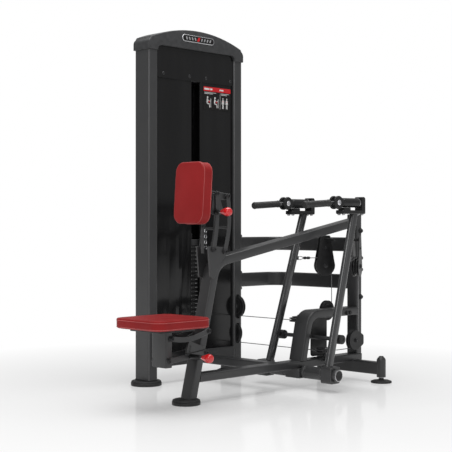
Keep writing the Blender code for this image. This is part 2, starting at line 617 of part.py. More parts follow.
def rear_upright():
    x = UPRIGHT_X + TUBE_T / 2
    path = [(x, 0, LOW_BEAM_HIGH + GAP), (x, 0, UPRIGHT_TOP)]
    post = add("rear_upright", box_tube(path, (1, 0, 0), TUBE_T, TUBE_W, 0.007), POWDER)
    nuts = []
    dome = [(0, 0), (0.014, 0), (0.014, 0.009), (0.010, 0.016), (0, 0.019)]
    for z in (0.924, 0.754, 0.682, 0.511):
        nuts.append(turned(dome, (UPRIGHT_X + 0.036, 0.001 - TUBE_W / 2, z), (0, -1, 0), 10))
    cy, cz = DOWN_Y["right"], RUN_Z["right"] + PULLEY_CABLE_R
    plate = [
        (1.244, 0.236), (1.270, 0.196), (1.322, 0.194), (1.370, 0.222), (1.374, 0.288), (1.326, 0.314),
        (1.262, 0.304),
    ]
    near = cy - PULLEY_HALF - 0.004
    nuts.append(prism(plate, "Y", near - 0.005, near))
    nuts.append(
        rod((DOWN_X - PULLEY_CABLE_R, near - 0.004, cz), (DOWN_X - PULLEY_CABLE_R, cy + 0.014, cz), AXLE_R)
    )
    nuts.append(block(1.3615, 1.3735, near - 0.001, -0.030, 0.232, 0.288))
    nuts.append(block(1.3615, UPRIGHT_X + 0.002, -0.038, -0.030, 0.232, 0.288))
    fuse(post, nuts)


def curved_beams():
    for name, low in CURVED_LOW.items():
        z = low + CURVED_TALL / 2
        x = UPRIGHT_X + TUBE_T / 2
        start, corner, end = (TOWER_RIGHT + GAP, CURVED_Y, z), (x, CURVED_Y, z), (x, TUBE_W / 2 + GAP, z)
        path = [start, *bend(start, corner, end, CURVED_BEND, 5), end]
        add(name, box_tube(path, (0, 0, 1), CURVED_TALL, TUBE_T, 0.008), POWDER)


def arch():
    """The bent tube over the low pulleys, with the stop bar and the pulley plates."""
    top = ARCH_TOP - ARCH_T / 2
    foot_z = LOW_BEAM_HIGH + GAP
    foot_x = ARCH_FOOT_X + ARCH_T / 2
    corner = (foot_x + ARCH_LEAN * (top - foot_z), 0, top)
    foot, end = (foot_x, 0, foot_z), (UPRIGHT_X - GAP, 0, top)
    path = [foot, *bend(foot, corner, end, ARCH_BEND, 6), end]
    body = box_tube(path, (0, 1, 0), 2 * ARCH_HALF, ARCH_T, 0.008, start_cut=(0, 0, 1))
    made = add("arch_tube", body, POWDER)
    stop_x = STOP_X
    bodies = [rod((stop_x, -STOP_HALF, BUMPER_Z), (stop_x, STOP_HALF, BUMPER_Z), 0.012)]
    bodies.append(block(0.925, stop_x, -0.020, 0.020, BUMPER_Z - 0.006, BUMPER_Z + 0.006))
    plate = rounded(1.075, foot_z + 0.001, 1.225, top - 0.005, 0.020, 3)
    bodies.append(prism(plate, "Y", ARCH_HALF - 0.008, ARCH_HALF - 0.001))
    bx, by, bz = CORNER_X, DOWN_Y["left"] + PULLEY_CABLE_R, RUN_Z["left"]
    bodies.append(block(bx - 0.030, bx + 0.030, ARCH_HALF - 0.006, by + 0.030, bz + 0.014, bz + 0.020))
    bodies.append(rod((bx, by, bz - 0.014), (bx, by, bz + 0.016), AXLE_R))
    ax, az = DOWN_X - PULLEY_CABLE_R, RUN_Z["left"] + PULLEY_CABLE_R
    bodies.append(rod((ax, ARCH_HALF - 0.006, az), (ax, DOWN_Y["left"] + 0.015, az), AXLE_R))
    fuse(made, bodies)
    for side, s in (("right", -1), ("left", 1)):
        near, far = STOP_HALF + GAP, STOP_HALF + 0.052
        ring = [
            (0, near), (0.022, near), (BUMPER_R, near + 0.007), (BUMPER_R, far - 0.007), (0.022, far),
            (0, far),
        ]
        add(f"bumper_{side}", turned(ring, (stop_x, 0, BUMPER_Z), (0, s, 0), 16), RUBBER)


# ---------------------------------------------------------------- levers and handles
def lever_at(s, share, off=(0, 0)):
    """A point on the lever's middle line, from 0 at the pivot's height to 1 at its top."""
    x = PIVOT_X + (LEVER_TOP[0] - PIVOT_X) * share
    y = LEVER_LOW_Y + (LEVER_TOP_Y - LEVER_LOW_Y) * share
    z = PIVOT_Z + (LEVER_TOP[1] - PIVOT_Z) * share
    return Vector((x + off[0], s * y, z + off[1]))


def lever(side, s):
    hub = pivot(f"lever_{side}_swing", PIVOT_X, s * LEVER_LOW_Y, PIVOT_Z)
    bore, bore_end = SHAFT_R + 0.0006, 0.2875
    sleeve = [(0, SLEEVE_IN), (SLEEVE_R, SLEEVE_IN), (SLEEVE_R, LEVER_END - 0.004)]
    sleeve += [(SLEEVE_R - 0.004, LEVER_END), (0, LEVER_END)]
    body = turned(sleeve, (PIVOT_X, 0, PIVOT_Z), (0, s, 0), 16)
    made = add(f"lever_{side}", body, POWDER, hub)
    clamp = prism(
        rounded(PIVOT_X - 0.043, PIVOT_Z - 0.048, PIVOT_X + 0.043, PIVOT_Z + 0.048, 0.012),
        "Y",
        *sorted((s * CLAMP_IN, s * CLAMP_OUT)),
    )
    low, high = lever_at(s, 0.03), lever_at(s, 1.0)
    along = (high - low).normalized()
    deep = Vector((0, 1, 0)).cross(along).normalized()
    wide = along.cross(deep)
    half = LEVER_WIDE / 2
    flat = capsule((-LEVER_DEEP / 2 + half, 0), (LEVER_DEEP / 2 - half, 0), half, 4)
    inner = [(a * (1 - 2 * LEVER_WALL / LEVER_DEEP), b * (1 - 2 * LEVER_WALL / LEVER_WIDE)) for a, b in flat]

    def bar(start, end, outline):
        bm = bmesh.new()
        rings = [[bm.verts.new(p + deep * a + wide * b) for a, b in outline] for p in (start, end)]
        bm.faces.new(rings[0])
        bm.faces.new(list(reversed(rings[1])))
        for n in range(len(outline)):
            bm.faces.new([rings[0][n], rings[0][n - 1], rings[1][n - 1], rings[1][n]])
        bmesh.ops.recalc_face_normals(bm, faces=bm.faces)
        return bm

    y = s * LEVER_TOP_Y
    plate_low, plate_high = BRACKET_LOW, BRACKET_LOW + BRACKET_PLATE
    half_wide = BRACKET_WIDE / 2
    plate = prism(
        rounded(BRACKET_FRONT, y - half_wide, BRACKET_BACK, y + half_wide, 0.008),
        "Z",
        plate_low,
        plate_high,
    )
    back_top = BARREL_Z + 0.036
    back = [(BRACKET_BACK - 0.034, plate_low + 0.004), (BRACKET_BACK, plate_low + 0.004)]
    back += arc(BRACKET_BACK - 0.014, back_top - 0.014, 0.014, 0, 90, 4) + [(BRACKET_BACK - 0.034, back_top)]
    back = prism(back, "Y", y - half_wide + 0.001, y + half_wide - 0.001)
    stub = rod((BRACKET_BACK - 0.010, y, BARREL_Z), (1.135, y, BARREL_Z), 0.0095)
    share = (LUG.z - PIVOT_Z) / (LEVER_TOP[1] - PIVOT_Z)
    root = lever_at(s, share)
    lug = block(root.x, LUG.x - 0.004, root.y - 0.005, root.y + 0.005, LUG.z - 0.012, LUG.z + 0.012)
    fuse(made, [clamp, bar(low, high, flat), plate, back, stub, lug], hub)
    cut(
        made,
        [
            bar(lever_at(s, 0.08), lever_at(s, 1.06), inner),
            rod((PIVOT_X, s * 0.04, PIVOT_Z), (PIVOT_X, s * bore_end, PIVOT_Z), bore, 16),
        ],
        hub,
    )
    handle(side, s, y)


def handle(side, s, y):
    """The barrel that swivels on the bracket, the knuckle at its end, and the grip on the knuckle's pin."""
    roll = pivot(f"handle_{side}_roll", 1.170, y, BARREL_Z)
    front = BRACKET_BACK - 0.034 - 0.0008
    bore, deep = 0.0105, front - 1.128
    profile = [(0, deep), (bore, deep), (bore, 0), (BARREL_R, 0), (BARREL_R, front - 1.072)]
    profile += [(0.024, front - 1.066), (0.018, front - 1.045), (0, front - 1.045)]
    body = turned(profile, (front, y, BARREL_Z), (-1, 0, 0), 16)
    made = add(f"handle_knuckle_{side}", body, POWDER, roll)
    disc = turned(
        [(0, -0.025), (0.036, -0.025), (KNUCKLE_R, -0.021), (KNUCKLE_R, 0.021), (0.036, 0.025), (0, 0.025)],
        (KNUCKLE_X, y, BARREL_Z),
        (0, 1, 0),
        16,
    )
    fuse(made, [disc], roll)
    slot = block(
        KNUCKLE_X - 0.060, KNUCKLE_X + 0.026, y - 0.0105, y + 0.0105, BARREL_Z - 0.060, BARREL_Z + 0.060
    )
    cut(made, [slot], roll)
    pin = rod((KNUCKLE_X, y - 0.018, BARREL_Z), (KNUCKLE_X, y + 0.018, BARREL_Z), 0.008)
    boolean(made, "UNION", [helper(f"handle_knuckle_{side}_pin", pin, roll)])
    tilt = pivot(f"handle_{side}_tilt", KNUCKLE_X, y, BARREL_Z)
    way = Vector((-math.cos(GRIP_DROOP), 0, -math.sin(GRIP_DROOP)))
    centre = Vector((KNUCKLE_X, y, BARREL_Z))
    near, tip = KNUCKLE_X - GRIP_NEAR, KNUCKLE_X - GRIP_TIP
    arm = [(0, 0.012), (0.0095, 0.012), (0.0095, near - 0.004), (0.014, near - 0.004), (0.014, near)]
    arm += [(GRIP_R, near), (GRIP_R, tip - 0.006), (GRIP_R - 0.006, tip), (0, tip)]
    grip = add(f"grip_{side}", turned(arm, centre, way, 16), RUBBER, tilt)
    eye = turned([(0, -0.0098), (0.020, -0.0098), (0.020, 0.0098), (0, 0.0098)], centre, (0, 1, 0), 12)
    fuse(grip, [eye], tilt)
    cut(grip, [rod((KNUCKLE_X, y - 0.03, BARREL_Z), (KNUCKLE_X, y + 0.03, BARREL_Z), 0.0085)], tilt)


# ---------------------------------------------------------------- pulleys and cables
def pulley(name, centre, axis, radius=PULLEY_R, cable_r=PULLEY_CABLE_R, grooves=(0.0,)):
    """A grooved wheel with a bore. Each groove is at its own distance along the axis."""
    hub = pivot(f"{name}_turn", *centre)
    bed = cable_r - CABLE_R - 0.002
    rim = [(AXLE_R + 0.0006, grooves[0] - PULLEY_HALF), (radius, grooves[0] - PULLEY_HALF)]
    for n, g in enumerate(grooves):
        if n:
            rim.append((radius, (grooves[n - 1] + g) / 2))
        rim += [(bed, g - 0.0028), (bed, g + 0.0028)]
    rim += [(radius, grooves[-1] + PULLEY_HALF), (AXLE_R + 0.0006, grooves[-1] + PULLEY_HALF)]
    add(name, turned(rim, centre, axis, 12), NYLON, hub)


def frame_way(s):
    """The direction in plan from a lever's lug to its frame pulley."""
    way = Vector((FRAME_PULLEY.x - LUG.x, s * (FRAME_PULLEY.y - LUG.y), 0))
    return way.normalized()


def pulleys():
    for side, s in (("left", 1), ("right", -1)):
        centre = Vector((FRAME_PULLEY.x, s * FRAME_PULLEY.y, FRAME_PULLEY.z))
        way = frame_way(s)
        normal = Vector((-way.y, way.x, 0))
        pulley(f"frame_pulley_{side}", centre, normal)
        housing(side, centre, way, normal)
        turn_y = DOWN_Y[side] + PULLEY_CABLE_R
        pulley(f"corner_pulley_{side}", (CORNER_X, turn_y, RUN_Z[side]), (0, 0, 1))
        low = (DOWN_X - PULLEY_CABLE_R, DOWN_Y[side], RUN_Z[side] + PULLEY_CABLE_R)
        pulley(f"{'arch' if side == 'left' else 'low'}_pulley", low, (0, 1, 0), 0.062)
        where = "upper" if side == "left" else "lower"
        spot = (RUN_X, SIDE_Y[side], RUN_Z[side] + SIDE_CABLE_R)
        pulley(f"side_pulley_{where}", spot, (1, 0, 0), SIDE_R, SIDE_CABLE_R)
    ys = [SIDE_Y[side] + SIDE_CABLE_R for side in ("left", "right")]
    middle = sum(ys) / 2
    for name, x in zip(("top_pulley", "post_pulley"), TOP_PULLEY_X):
        pulley(name, (x, middle, TOP_PULLEY_Z), (0, 1, 0), grooves=[y - middle for y in ys])


def housing(side, centre, way, normal):
    """Two teardrop cheeks with their axle, hung from a hanger plate under the sloping beam's end."""
    top = 0.895
    radius, neck = HOUSING_R, 0.031
    outline = arc(0, 0, radius, 160, 380, 12) + [(neck, top - centre.z), (-neck, top - centre.z)]

    def cheek(low, high):
        bm = bmesh.new()
        rings = []
        for t in (low, high):
            rings.append(
                [bm.verts.new(centre + way * a + normal * t + Vector((0, 0, b))) for a, b in outline]
            )
        bm.faces.new(rings[0])
        bm.faces.new(list(reversed(rings[1])))
        for n in range(len(outline)):
            bm.faces.new([rings[0][n], rings[0][n - 1], rings[1][n - 1], rings[1][n]])
        bmesh.ops.recalc_face_normals(bm, faces=bm.faces)
        return bm

    made = add(f"pulley_housing_{side}", cheek(CHEEK_AT, CHEEK_AT + CHEEK_T), POWDER)
    axle = rod(
        centre - normal * (CHEEK_AT + CHEEK_T + 0.006),
        centre + normal * (CHEEK_AT + CHEEK_T + 0.006),
        AXLE_R,
    )
    bridge = bmesh.new()
    spans = [(-neck + 0.004, neck - 0.004), (-CHEEK_AT - 0.002, CHEEK_AT + 0.002), (top - 0.030, top - 0.022)]
    corners = [
        centre + way * a + normal * t + Vector((0, 0, b - centre.z))
        for b in spans[2]
        for a, t in (
            (spans[0][0], spans[1][0]),
            (spans[0][1], spans[1][0]),
            (spans[0][1], spans[1][1]),
            (spans[0][0], spans[1][1]),
        )
    ]
    verts = [bridge.verts.new(c) for c in corners]
    for quad in ((0, 3, 2, 1), (4, 5, 6, 7), (0, 1, 5, 4), (1, 2, 6, 5), (2, 3, 7, 6), (3, 0, 4, 7)):
        bridge.faces.new([verts[n] for n in quad])
    s = 1 if centre.y > 0 else -1
    hanger = block(
        centre.x - 0.020,
        centre.x + 0.020,
        *sorted((s * (TUBE_W / 2 + GAP), s * 0.135)),
        top - 0.034,
        top - 0.018,
    )
    fuse(made, [cheek(-CHEEK_AT - CHEEK_T, -CHEEK_AT), axle, bridge, hanger])


def wrap(centre, first, second, radius, steps=4):
    """A quarter turn of cable about a pulley, from its side "first" to its side "second"."""
    centre, first, second = Vector(centre), Vector(first), Vector(second)
    angles = [math.pi / 2 * n / steps for n in range(steps + 1)]
    return [centre + (first * math.cos(a) + second * math.sin(a)) * radius for a in angles]


def cable(name, points, stuff=CABLE, parent=None):
    curve = bpy.data.curves.new(name, "CURVE")
    curve.dimensions = "3D"
    curve.bevel_depth = CABLE_R
    curve.bevel_resolution = 0
    curve.render_resolution_u = 0
    curve.use_fill_caps = True
    spline = curve.splines.new("POLY")
    spline.points.add(len(points) - 1)
    shift = parent.location if parent else Vector((0, 0, 0))
    for spot, point in zip(spline.points, points):
        spot.co = (*(Vector(point) - shift), 1.0)
    curve.materials.append(stuff)
    made = bpy.data.objects.new(name, curve)
    made.parent = parent or machine
    bpy.context.collection.objects.link(made)


def cables():
    """Each lever's cable runs over its frame pulley, round the low pulleys and up inside the right post."""
    up, down = Vector((0, 0, 1)), Vector((0, 0, -1))
    x, y = Vector((1, 0, 0)), Vector((0, 1, 0))
    r = PULLEY_CABLE_R
    for side, s in (("left", 1), ("right", -1)):
        way = frame_way(s)
        centre = Vector((FRAME_PULLEY.x, s * FRAME_PULLEY.y, FRAME_PULLEY.z))
        points = [Vector((LUG.x, s * LUG.y, LUG.z)) + way * 0.004]
        points += wrap(centre, up, way, r)
        low = (DOWN_X - r, DOWN_Y[side], RUN_Z[side] + r)
        points += wrap(low, x, down, r)
        points += wrap((CORNER_X, DOWN_Y[side] + r, RUN_Z[side]), -y, -x, r)
        rise = SIDE_Y[side] + SIDE_CABLE_R
        points += wrap((RUN_X, SIDE_Y[side], RUN_Z[side] + SIDE_CABLE_R), down, y, SIDE_CABLE_R)
        points += wrap((TOP_PULLEY_X[1], rise, TOP_PULLEY_Z), x, up, r)
        points += wrap((TOP_PULLEY_X[0], rise, TOP_PULLEY_Z), up, -x, r)
        cable(f"cable_{side}", points)
    stack_cables()


def stack_cables():
    """The two hanging ends between the top pulley and the stack's yoke, in one shackle at the bottom."""
    ys = [SIDE_Y[side] + SIDE_CABLE_R for side in ("left", "right")]
    low = YOKE_TOP + GAP
    body = block(STACK_X - 0.008, STACK_X + 0.008, ys[0] - 0.006, ys[1] + 0.006, low, low + 0.020)
    made = add("stack_cables", body, CABLE)
    fuse(made, [rod((STACK_X, y, low + 0.010), (STACK_X, y, TOP_PULLEY_Z - 0.001), CABLE_R, 6) for y in ys])


# ---------------------------------------------------------------- seat
def link_pair(name, outline, parent, bar_at, stuff=POWDER, inner=LINK_IN, thick=LINK_T, extra=(), pins=()):
    """Two flat links, near and far, joined by a cross tube. pins are the holes for the pivot bolts."""
    made = add(name, prism(outline, "Y", -inner - thick, -inner), stuff, parent)
    x, z = bar_at
    bodies = [
        prism(outline, "Y", inner, inner + thick), rod((x, -inner - 0.002, z), (x, inner + 0.002, z), 0.009)
    ]
    fuse(made, bodies + list(extra), parent)
    holes = [rod((px, -0.09, pz), (px, 0.09, pz), PIN_BOLT_R + 0.0006) for px, pz in pins]
    cut(made, holes, parent)
    return made


def knob(name, x, z, start, pin_to, parent):
    """A red pear-shaped pull knob on a steel pin that points along -Y."""
    profile = [
        (0, pin_to), (PLUNGER_PIN_R, pin_to), (PLUNGER_PIN_R, start), (0.010, start), (0.012, start + 0.012)
    ]
    profile += [
        (0.016, start + 0.030),
        (0.0225, start + 0.055),
        (0.024, start + 0.070),
        (0.019, start + 0.084),
        (0, start + 0.090),
    ]
    add(name, turned(profile, (x, 0, z), (0, -1, 0), 14), RED_KNOB, parent)


def seat():
    ux, uz = SEAT_UPPER_PIN
    lx, lz = SEAT_LOWER_PIN
    upper_end, lower_end = (ux + SEAT_LINK[0], uz + SEAT_LINK[1]), (lx + SEAT_LINK[0], lz + SEAT_LINK[1])
    upper = pivot("seat_upper_link_swing", ux, 0, uz)
    bar = ((ux + upper_end[0]) / 2 + 0.01, (uz + upper_end[1]) / 2 - 0.018)
    link_pair(
        "seat_upper_link",
        bowed_bar(upper_end, SEAT_UPPER_PIN, 0.015, 0.020),
        upper,
        bar,
        pins=[SEAT_UPPER_PIN, upper_end],
    )
    lower = pivot("seat_lower_link_swing", lx, 0, lz)
    way = Vector(SEAT_LINK).normalized()
    plunger = Vector(SEAT_LOWER_PIN) + way * SEAT_PLUNGER_AT
    sleeve_body = rod(
        (plunger.x, -LINK_IN - LINK_T + 0.002, plunger.y), (plunger.x, -0.132, plunger.y), 0.0135
    )
    bar = Vector(SEAT_LOWER_PIN) + way * 0.165
    made = link_pair(
        "seat_lower_link", capsule(SEAT_LOWER_PIN, lower_end, 0.015), lower, bar, extra=[sleeve_body],
        pins=[SEAT_LOWER_PIN],
    )
    cut(
        made,
        [rod((plunger.x, -0.050, plunger.y), (plunger.x, -0.140, plunger.y), PLUNGER_PIN_R + 0.0008)],
        lower,
    )
    far_hole = rod(
        (lower_end[0], -0.09, lower_end[1]), (lower_end[0], 0.09, lower_end[1]), PIN_BOLT_R + 0.0015
    )
    boolean(made, "DIFFERENCE", [helper("seat_lower_link_open_pivot", far_hole, lower)])
    pull = pivot("seat_knob_pull", plunger.x, -0.132, plunger.y)
    knob("seat_knob", plunger.x, plunger.y, 0.1326, 0.0528, pull)
    carrier = pivot("seat_carrier_swing", upper_end[0], 0, upper_end[1])
    x = (CARRIER_FRONT + CARRIER_BACK) / 2
    path = [(x, 0, 0.218), (x, 0, 0.4065)]
    made = add(
        "seat_carrier",
        box_tube(path, (1, 0, 0), CARRIER_BACK - CARRIER_FRONT, 2 * CARRIER_HALF, 0.007),
        POWDER,
        carrier,
    )
    plate = block(-0.290, -0.050, -0.120, 0.120, 0.4055, SEAT_LOW - GAP)
    pins = [rod((px, -0.0645, pz), (px, 0.0645, pz), PIN_BOLT_R) for px, pz in (upper_end, lower_end)]
    fuse(made, [plate, *pins], carrier)
    outline = rounded(SEAT_FRONT, -SEAT_HALF, SEAT_BACK, SEAT_HALF, SEAT_CORNER, 6)
    pad = prism(outline, "Z", SEAT_LOW, SEAT_HIGH)
    bmesh.ops.bevel(
        pad,
        geom=[
            e
            for e in pad.edges
            if abs(e.verts[0].co.z - e.verts[1].co.z) < 1e-6 and e.verts[0].co.z > SEAT_LOW + 0.01
        ],
        offset=0.014, segments=2, affect="EDGES", profile=0.6,
    )
    add("seat_pad", pad, RED_PAD, carrier)


# ---------------------------------------------------------------- chest pad
def chest():
    fx, fz = CHEST_FRONT_PIN
    rx, rz = CHEST_REAR_PIN
    front_top, rear_top = (fx + CHEST_LINK[0], fz + CHEST_LINK[1]), (rx + CHEST_LINK[0], rz + CHEST_LINK[1])
    inner, thick = 0.0490, 0.007
    front = pivot("chest_front_link_swing", fx, 0, fz)
    px, pz = CHEST_PLUNGER
    ring = rod((px, -inner - thick + 0.002, pz), (px, -0.070, pz), 0.0155)
    made = link_pair(
        "chest_front_link", bowed_bar(CHEST_FRONT_PIN, front_top, 0.0135, 0.012), front, (0.183, 0.940),
        inner=inner, thick=thick, extra=[ring], pins=[CHEST_FRONT_PIN, front_top],
    )
    cut(made, [rod((px, -0.045, pz), (px, -0.080, pz), PLUNGER_PIN_R + 0.0008)], front)
    rear = pivot("chest_rear_link_swing", rx, 0, rz)
    made = link_pair(
        "chest_rear_link", bowed_bar(CHEST_REAR_PIN, rear_top, 0.0135, 0.020), rear, (0.274, 0.945),
        inner=inner, thick=thick, pins=[CHEST_REAR_PIN],
    )
    open_pivot = rod((rear_top[0], -0.09, rear_top[1]), (rear_top[0], 0.09, rear_top[1]), PIN_BOLT_R + 0.0015)
    boolean(made, "DIFFERENCE", [helper("chest_rear_link_open_pivot", open_pivot, rear)])
    pull = pivot("chest_knob_pull", px, -0.070, pz)
    knob("chest_knob", px, pz, 0.0706, 0.0478, pull)
    carrier = pivot("chest_carrier_swing", front_top[0], 0, front_top[1])
    lean = Matrix.Rotation(PAD_TILT, 3, "Y")
    foot = Vector((PAD_FRONT, 0, PAD_LOW))

    def leaned(bm):
        bmesh.ops.rotate(bm, cent=foot, matrix=lean, verts=bm.verts)
        return bm

    start = PAD_FRONT + PAD_THICK + 0.0155
    arm = [(start, 1.098), (0.279, 1.098), (0.279, 1.133), (0.149, 1.147), (start, 1.147)]
    arm = prism(arm, "Y", -0.040, 0.040)
    made = add("chest_carrier", arm, POWDER, carrier)
    back = PAD_FRONT + PAD_THICK
    plate = leaned(block(back + GAP, back + 0.008, -0.060, 0.060, 1.040, 1.235))
    sx, sz = front_top
    sector = arc(sx, sz, 0.118, 250, 300, 6) + [(sx + 0.020, sz), (sx - 0.020, sz)]
    sector = prism(sector, "Y", -0.0475, -0.0390)
    pins = [rod((qx, -0.0590, qz), (qx, 0.0590, qz), PIN_BOLT_R) for qx, qz in (front_top, rear_top)]
    fuse(made, [plate, sector, *pins], carrier)
    radius = math.hypot(px - sx, pz - sz)
    here = math.degrees(math.atan2(pz - sz, px - sx))
    holes = []
    for n in (-1, 0, 1):
        hx, hz = arc(sx, sz, radius, here + 9 * n, here + 9 * n + 1, 1)[0]
        holes.append(rod((hx, -0.052, hz), (hx, -0.0425, hz), 0.0058, 10))
    cut(made, holes, carrier)
    bulge = 0.008
    outline = []
    for start, (cy, cz) in enumerate(
        ((PAD_HALF - 0.040, PAD_HIGH - 0.040 - bulge), (-PAD_HALF + 0.040, PAD_HIGH - 0.040 - bulge))
    ):
        outline += arc(cy, cz, 0.040, 90 * start, 90 * start + 90, 5)
        if start == 0:
            outline += [(y, PAD_HIGH - bulge * (y / PAD_HALF) ** 2) for y in (0.045, 0.0, -0.045)]
    for start, (cy, cz) in enumerate(
        ((-PAD_HALF + 0.040, PAD_LOW + 0.040 + bulge), (PAD_HALF - 0.040, PAD_LOW + 0.040 + bulge))
    ):
        outline += arc(cy, cz, 0.040, 180 + 90 * start, 270 + 90 * start, 5)
        if start == 0:
            outline += [(y, PAD_LOW + bulge * (y / PAD_HALF) ** 2) for y in (-0.045, 0.0, 0.045)]
    pad = prism(outline, "X", PAD_FRONT, back)
    bmesh.ops.bevel(
        pad, geom=[e for e in pad.edges if max(v.co.x for v in e.verts) < PAD_FRONT + 1e-6], offset=0.012,
        segments=2, affect="EDGES", profile=0.6,
    )
    add("chest_pad", leaned(pad), RED_PAD, carrier)


# ---------------------------------------------------------------- values worked out from the above
FOOT_TOP = 0.030
PLUNGER_PIN_R = 0.005
LIFT_LOW = STACK_LOW + PLATES_LEFT * PLATE_PITCH + GAP
HEAD_LOW = LIFT_LOW + PLATES_LIFTED * PLATE_PITCH + GAP
HEAD_HIGH = HEAD_LOW + 0.035
YOKE_TOP = HEAD_HIGH + 0.035
TOP_PULLEY_X = (STACK_X + PULLEY_CABLE_R, RUN_X - PULLEY_CABLE_R)
DOWN_X = FRAME_PULLEY.x + PULLEY_CABLE_R * frame_way(1).x
DOWN_Y = {"left": FRAME_PULLEY.y + PULLEY_CABLE_R * frame_way(1).y}
DOWN_Y["right"] = -DOWN_Y["left"]
CORNER_X = RUN_X + PULLEY_CABLE_R
LEAN = math.atan2(LEVER_TOP[0] - PIVOT_X, LEVER_TOP[1] - PIVOT_Z)
STOP_X = PIVOT_X + (BUMPER_Z - PIVOT_Z) * math.tan(LEAN) + (
    LEVER_DEEP / 2 + BUMPER_R + 0.0012
) / math.cos(LEAN)

tower_frame()
tower_cap()
tower_panels()
top_rail()
weight_stack()
main_tube()
base_beam()
rear_upright()
curved_beams()
arch()
for lever_side, lever_s in (("left", 1), ("right", -1)):
    lever(lever_side, lever_s)
pulleys()
cables()
seat()
chest()
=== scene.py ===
import json
import math

import bmesh
import bpy
import numpy as np
from mathutils import Matrix, Vector
from mathutils.bvhtree import BVHTree


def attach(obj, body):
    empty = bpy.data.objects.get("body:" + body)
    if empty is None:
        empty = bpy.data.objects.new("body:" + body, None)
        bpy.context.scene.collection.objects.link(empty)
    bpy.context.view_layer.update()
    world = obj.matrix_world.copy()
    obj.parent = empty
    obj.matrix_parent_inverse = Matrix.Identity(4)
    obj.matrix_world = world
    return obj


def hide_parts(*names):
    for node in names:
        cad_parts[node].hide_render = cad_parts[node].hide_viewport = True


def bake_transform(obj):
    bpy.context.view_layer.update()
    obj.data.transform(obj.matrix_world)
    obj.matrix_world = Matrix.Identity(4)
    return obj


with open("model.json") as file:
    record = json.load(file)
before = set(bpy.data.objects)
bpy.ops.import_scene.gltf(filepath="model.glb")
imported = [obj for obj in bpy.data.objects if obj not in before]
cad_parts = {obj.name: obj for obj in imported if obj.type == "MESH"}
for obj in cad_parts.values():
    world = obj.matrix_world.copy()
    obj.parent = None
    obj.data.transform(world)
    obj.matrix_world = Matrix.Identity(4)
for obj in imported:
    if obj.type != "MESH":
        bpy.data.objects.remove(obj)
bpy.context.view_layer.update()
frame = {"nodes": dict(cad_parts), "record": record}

# Points below are written from the middle of the front foot, as in the CAD source. placed takes them
# to the row frame, whose origin is on the floor in the middle of the machine's plan.
ORIGIN = Vector((0.5513, 0.2323, 0.0))
NODES = frame["nodes"]
GAP = 0.0003


# ---------------------------------------------------------------- materials
COAT_ROUGHNESS = 0.12
MOTTLE_BAND = (0.35, 0.65)
GLOSS_BAND = (0.3, 0.7)
BEVEL_SAMPLES = 6
# Painted edge highlight: where the bevelled and flat normals part from 0.97 to 0.80, up to 0.55 of a lighter
# colour is mixed in.
EDGE_HIGHLIGHT_BAND = (0.97, 0.80, 0.0, 0.55)


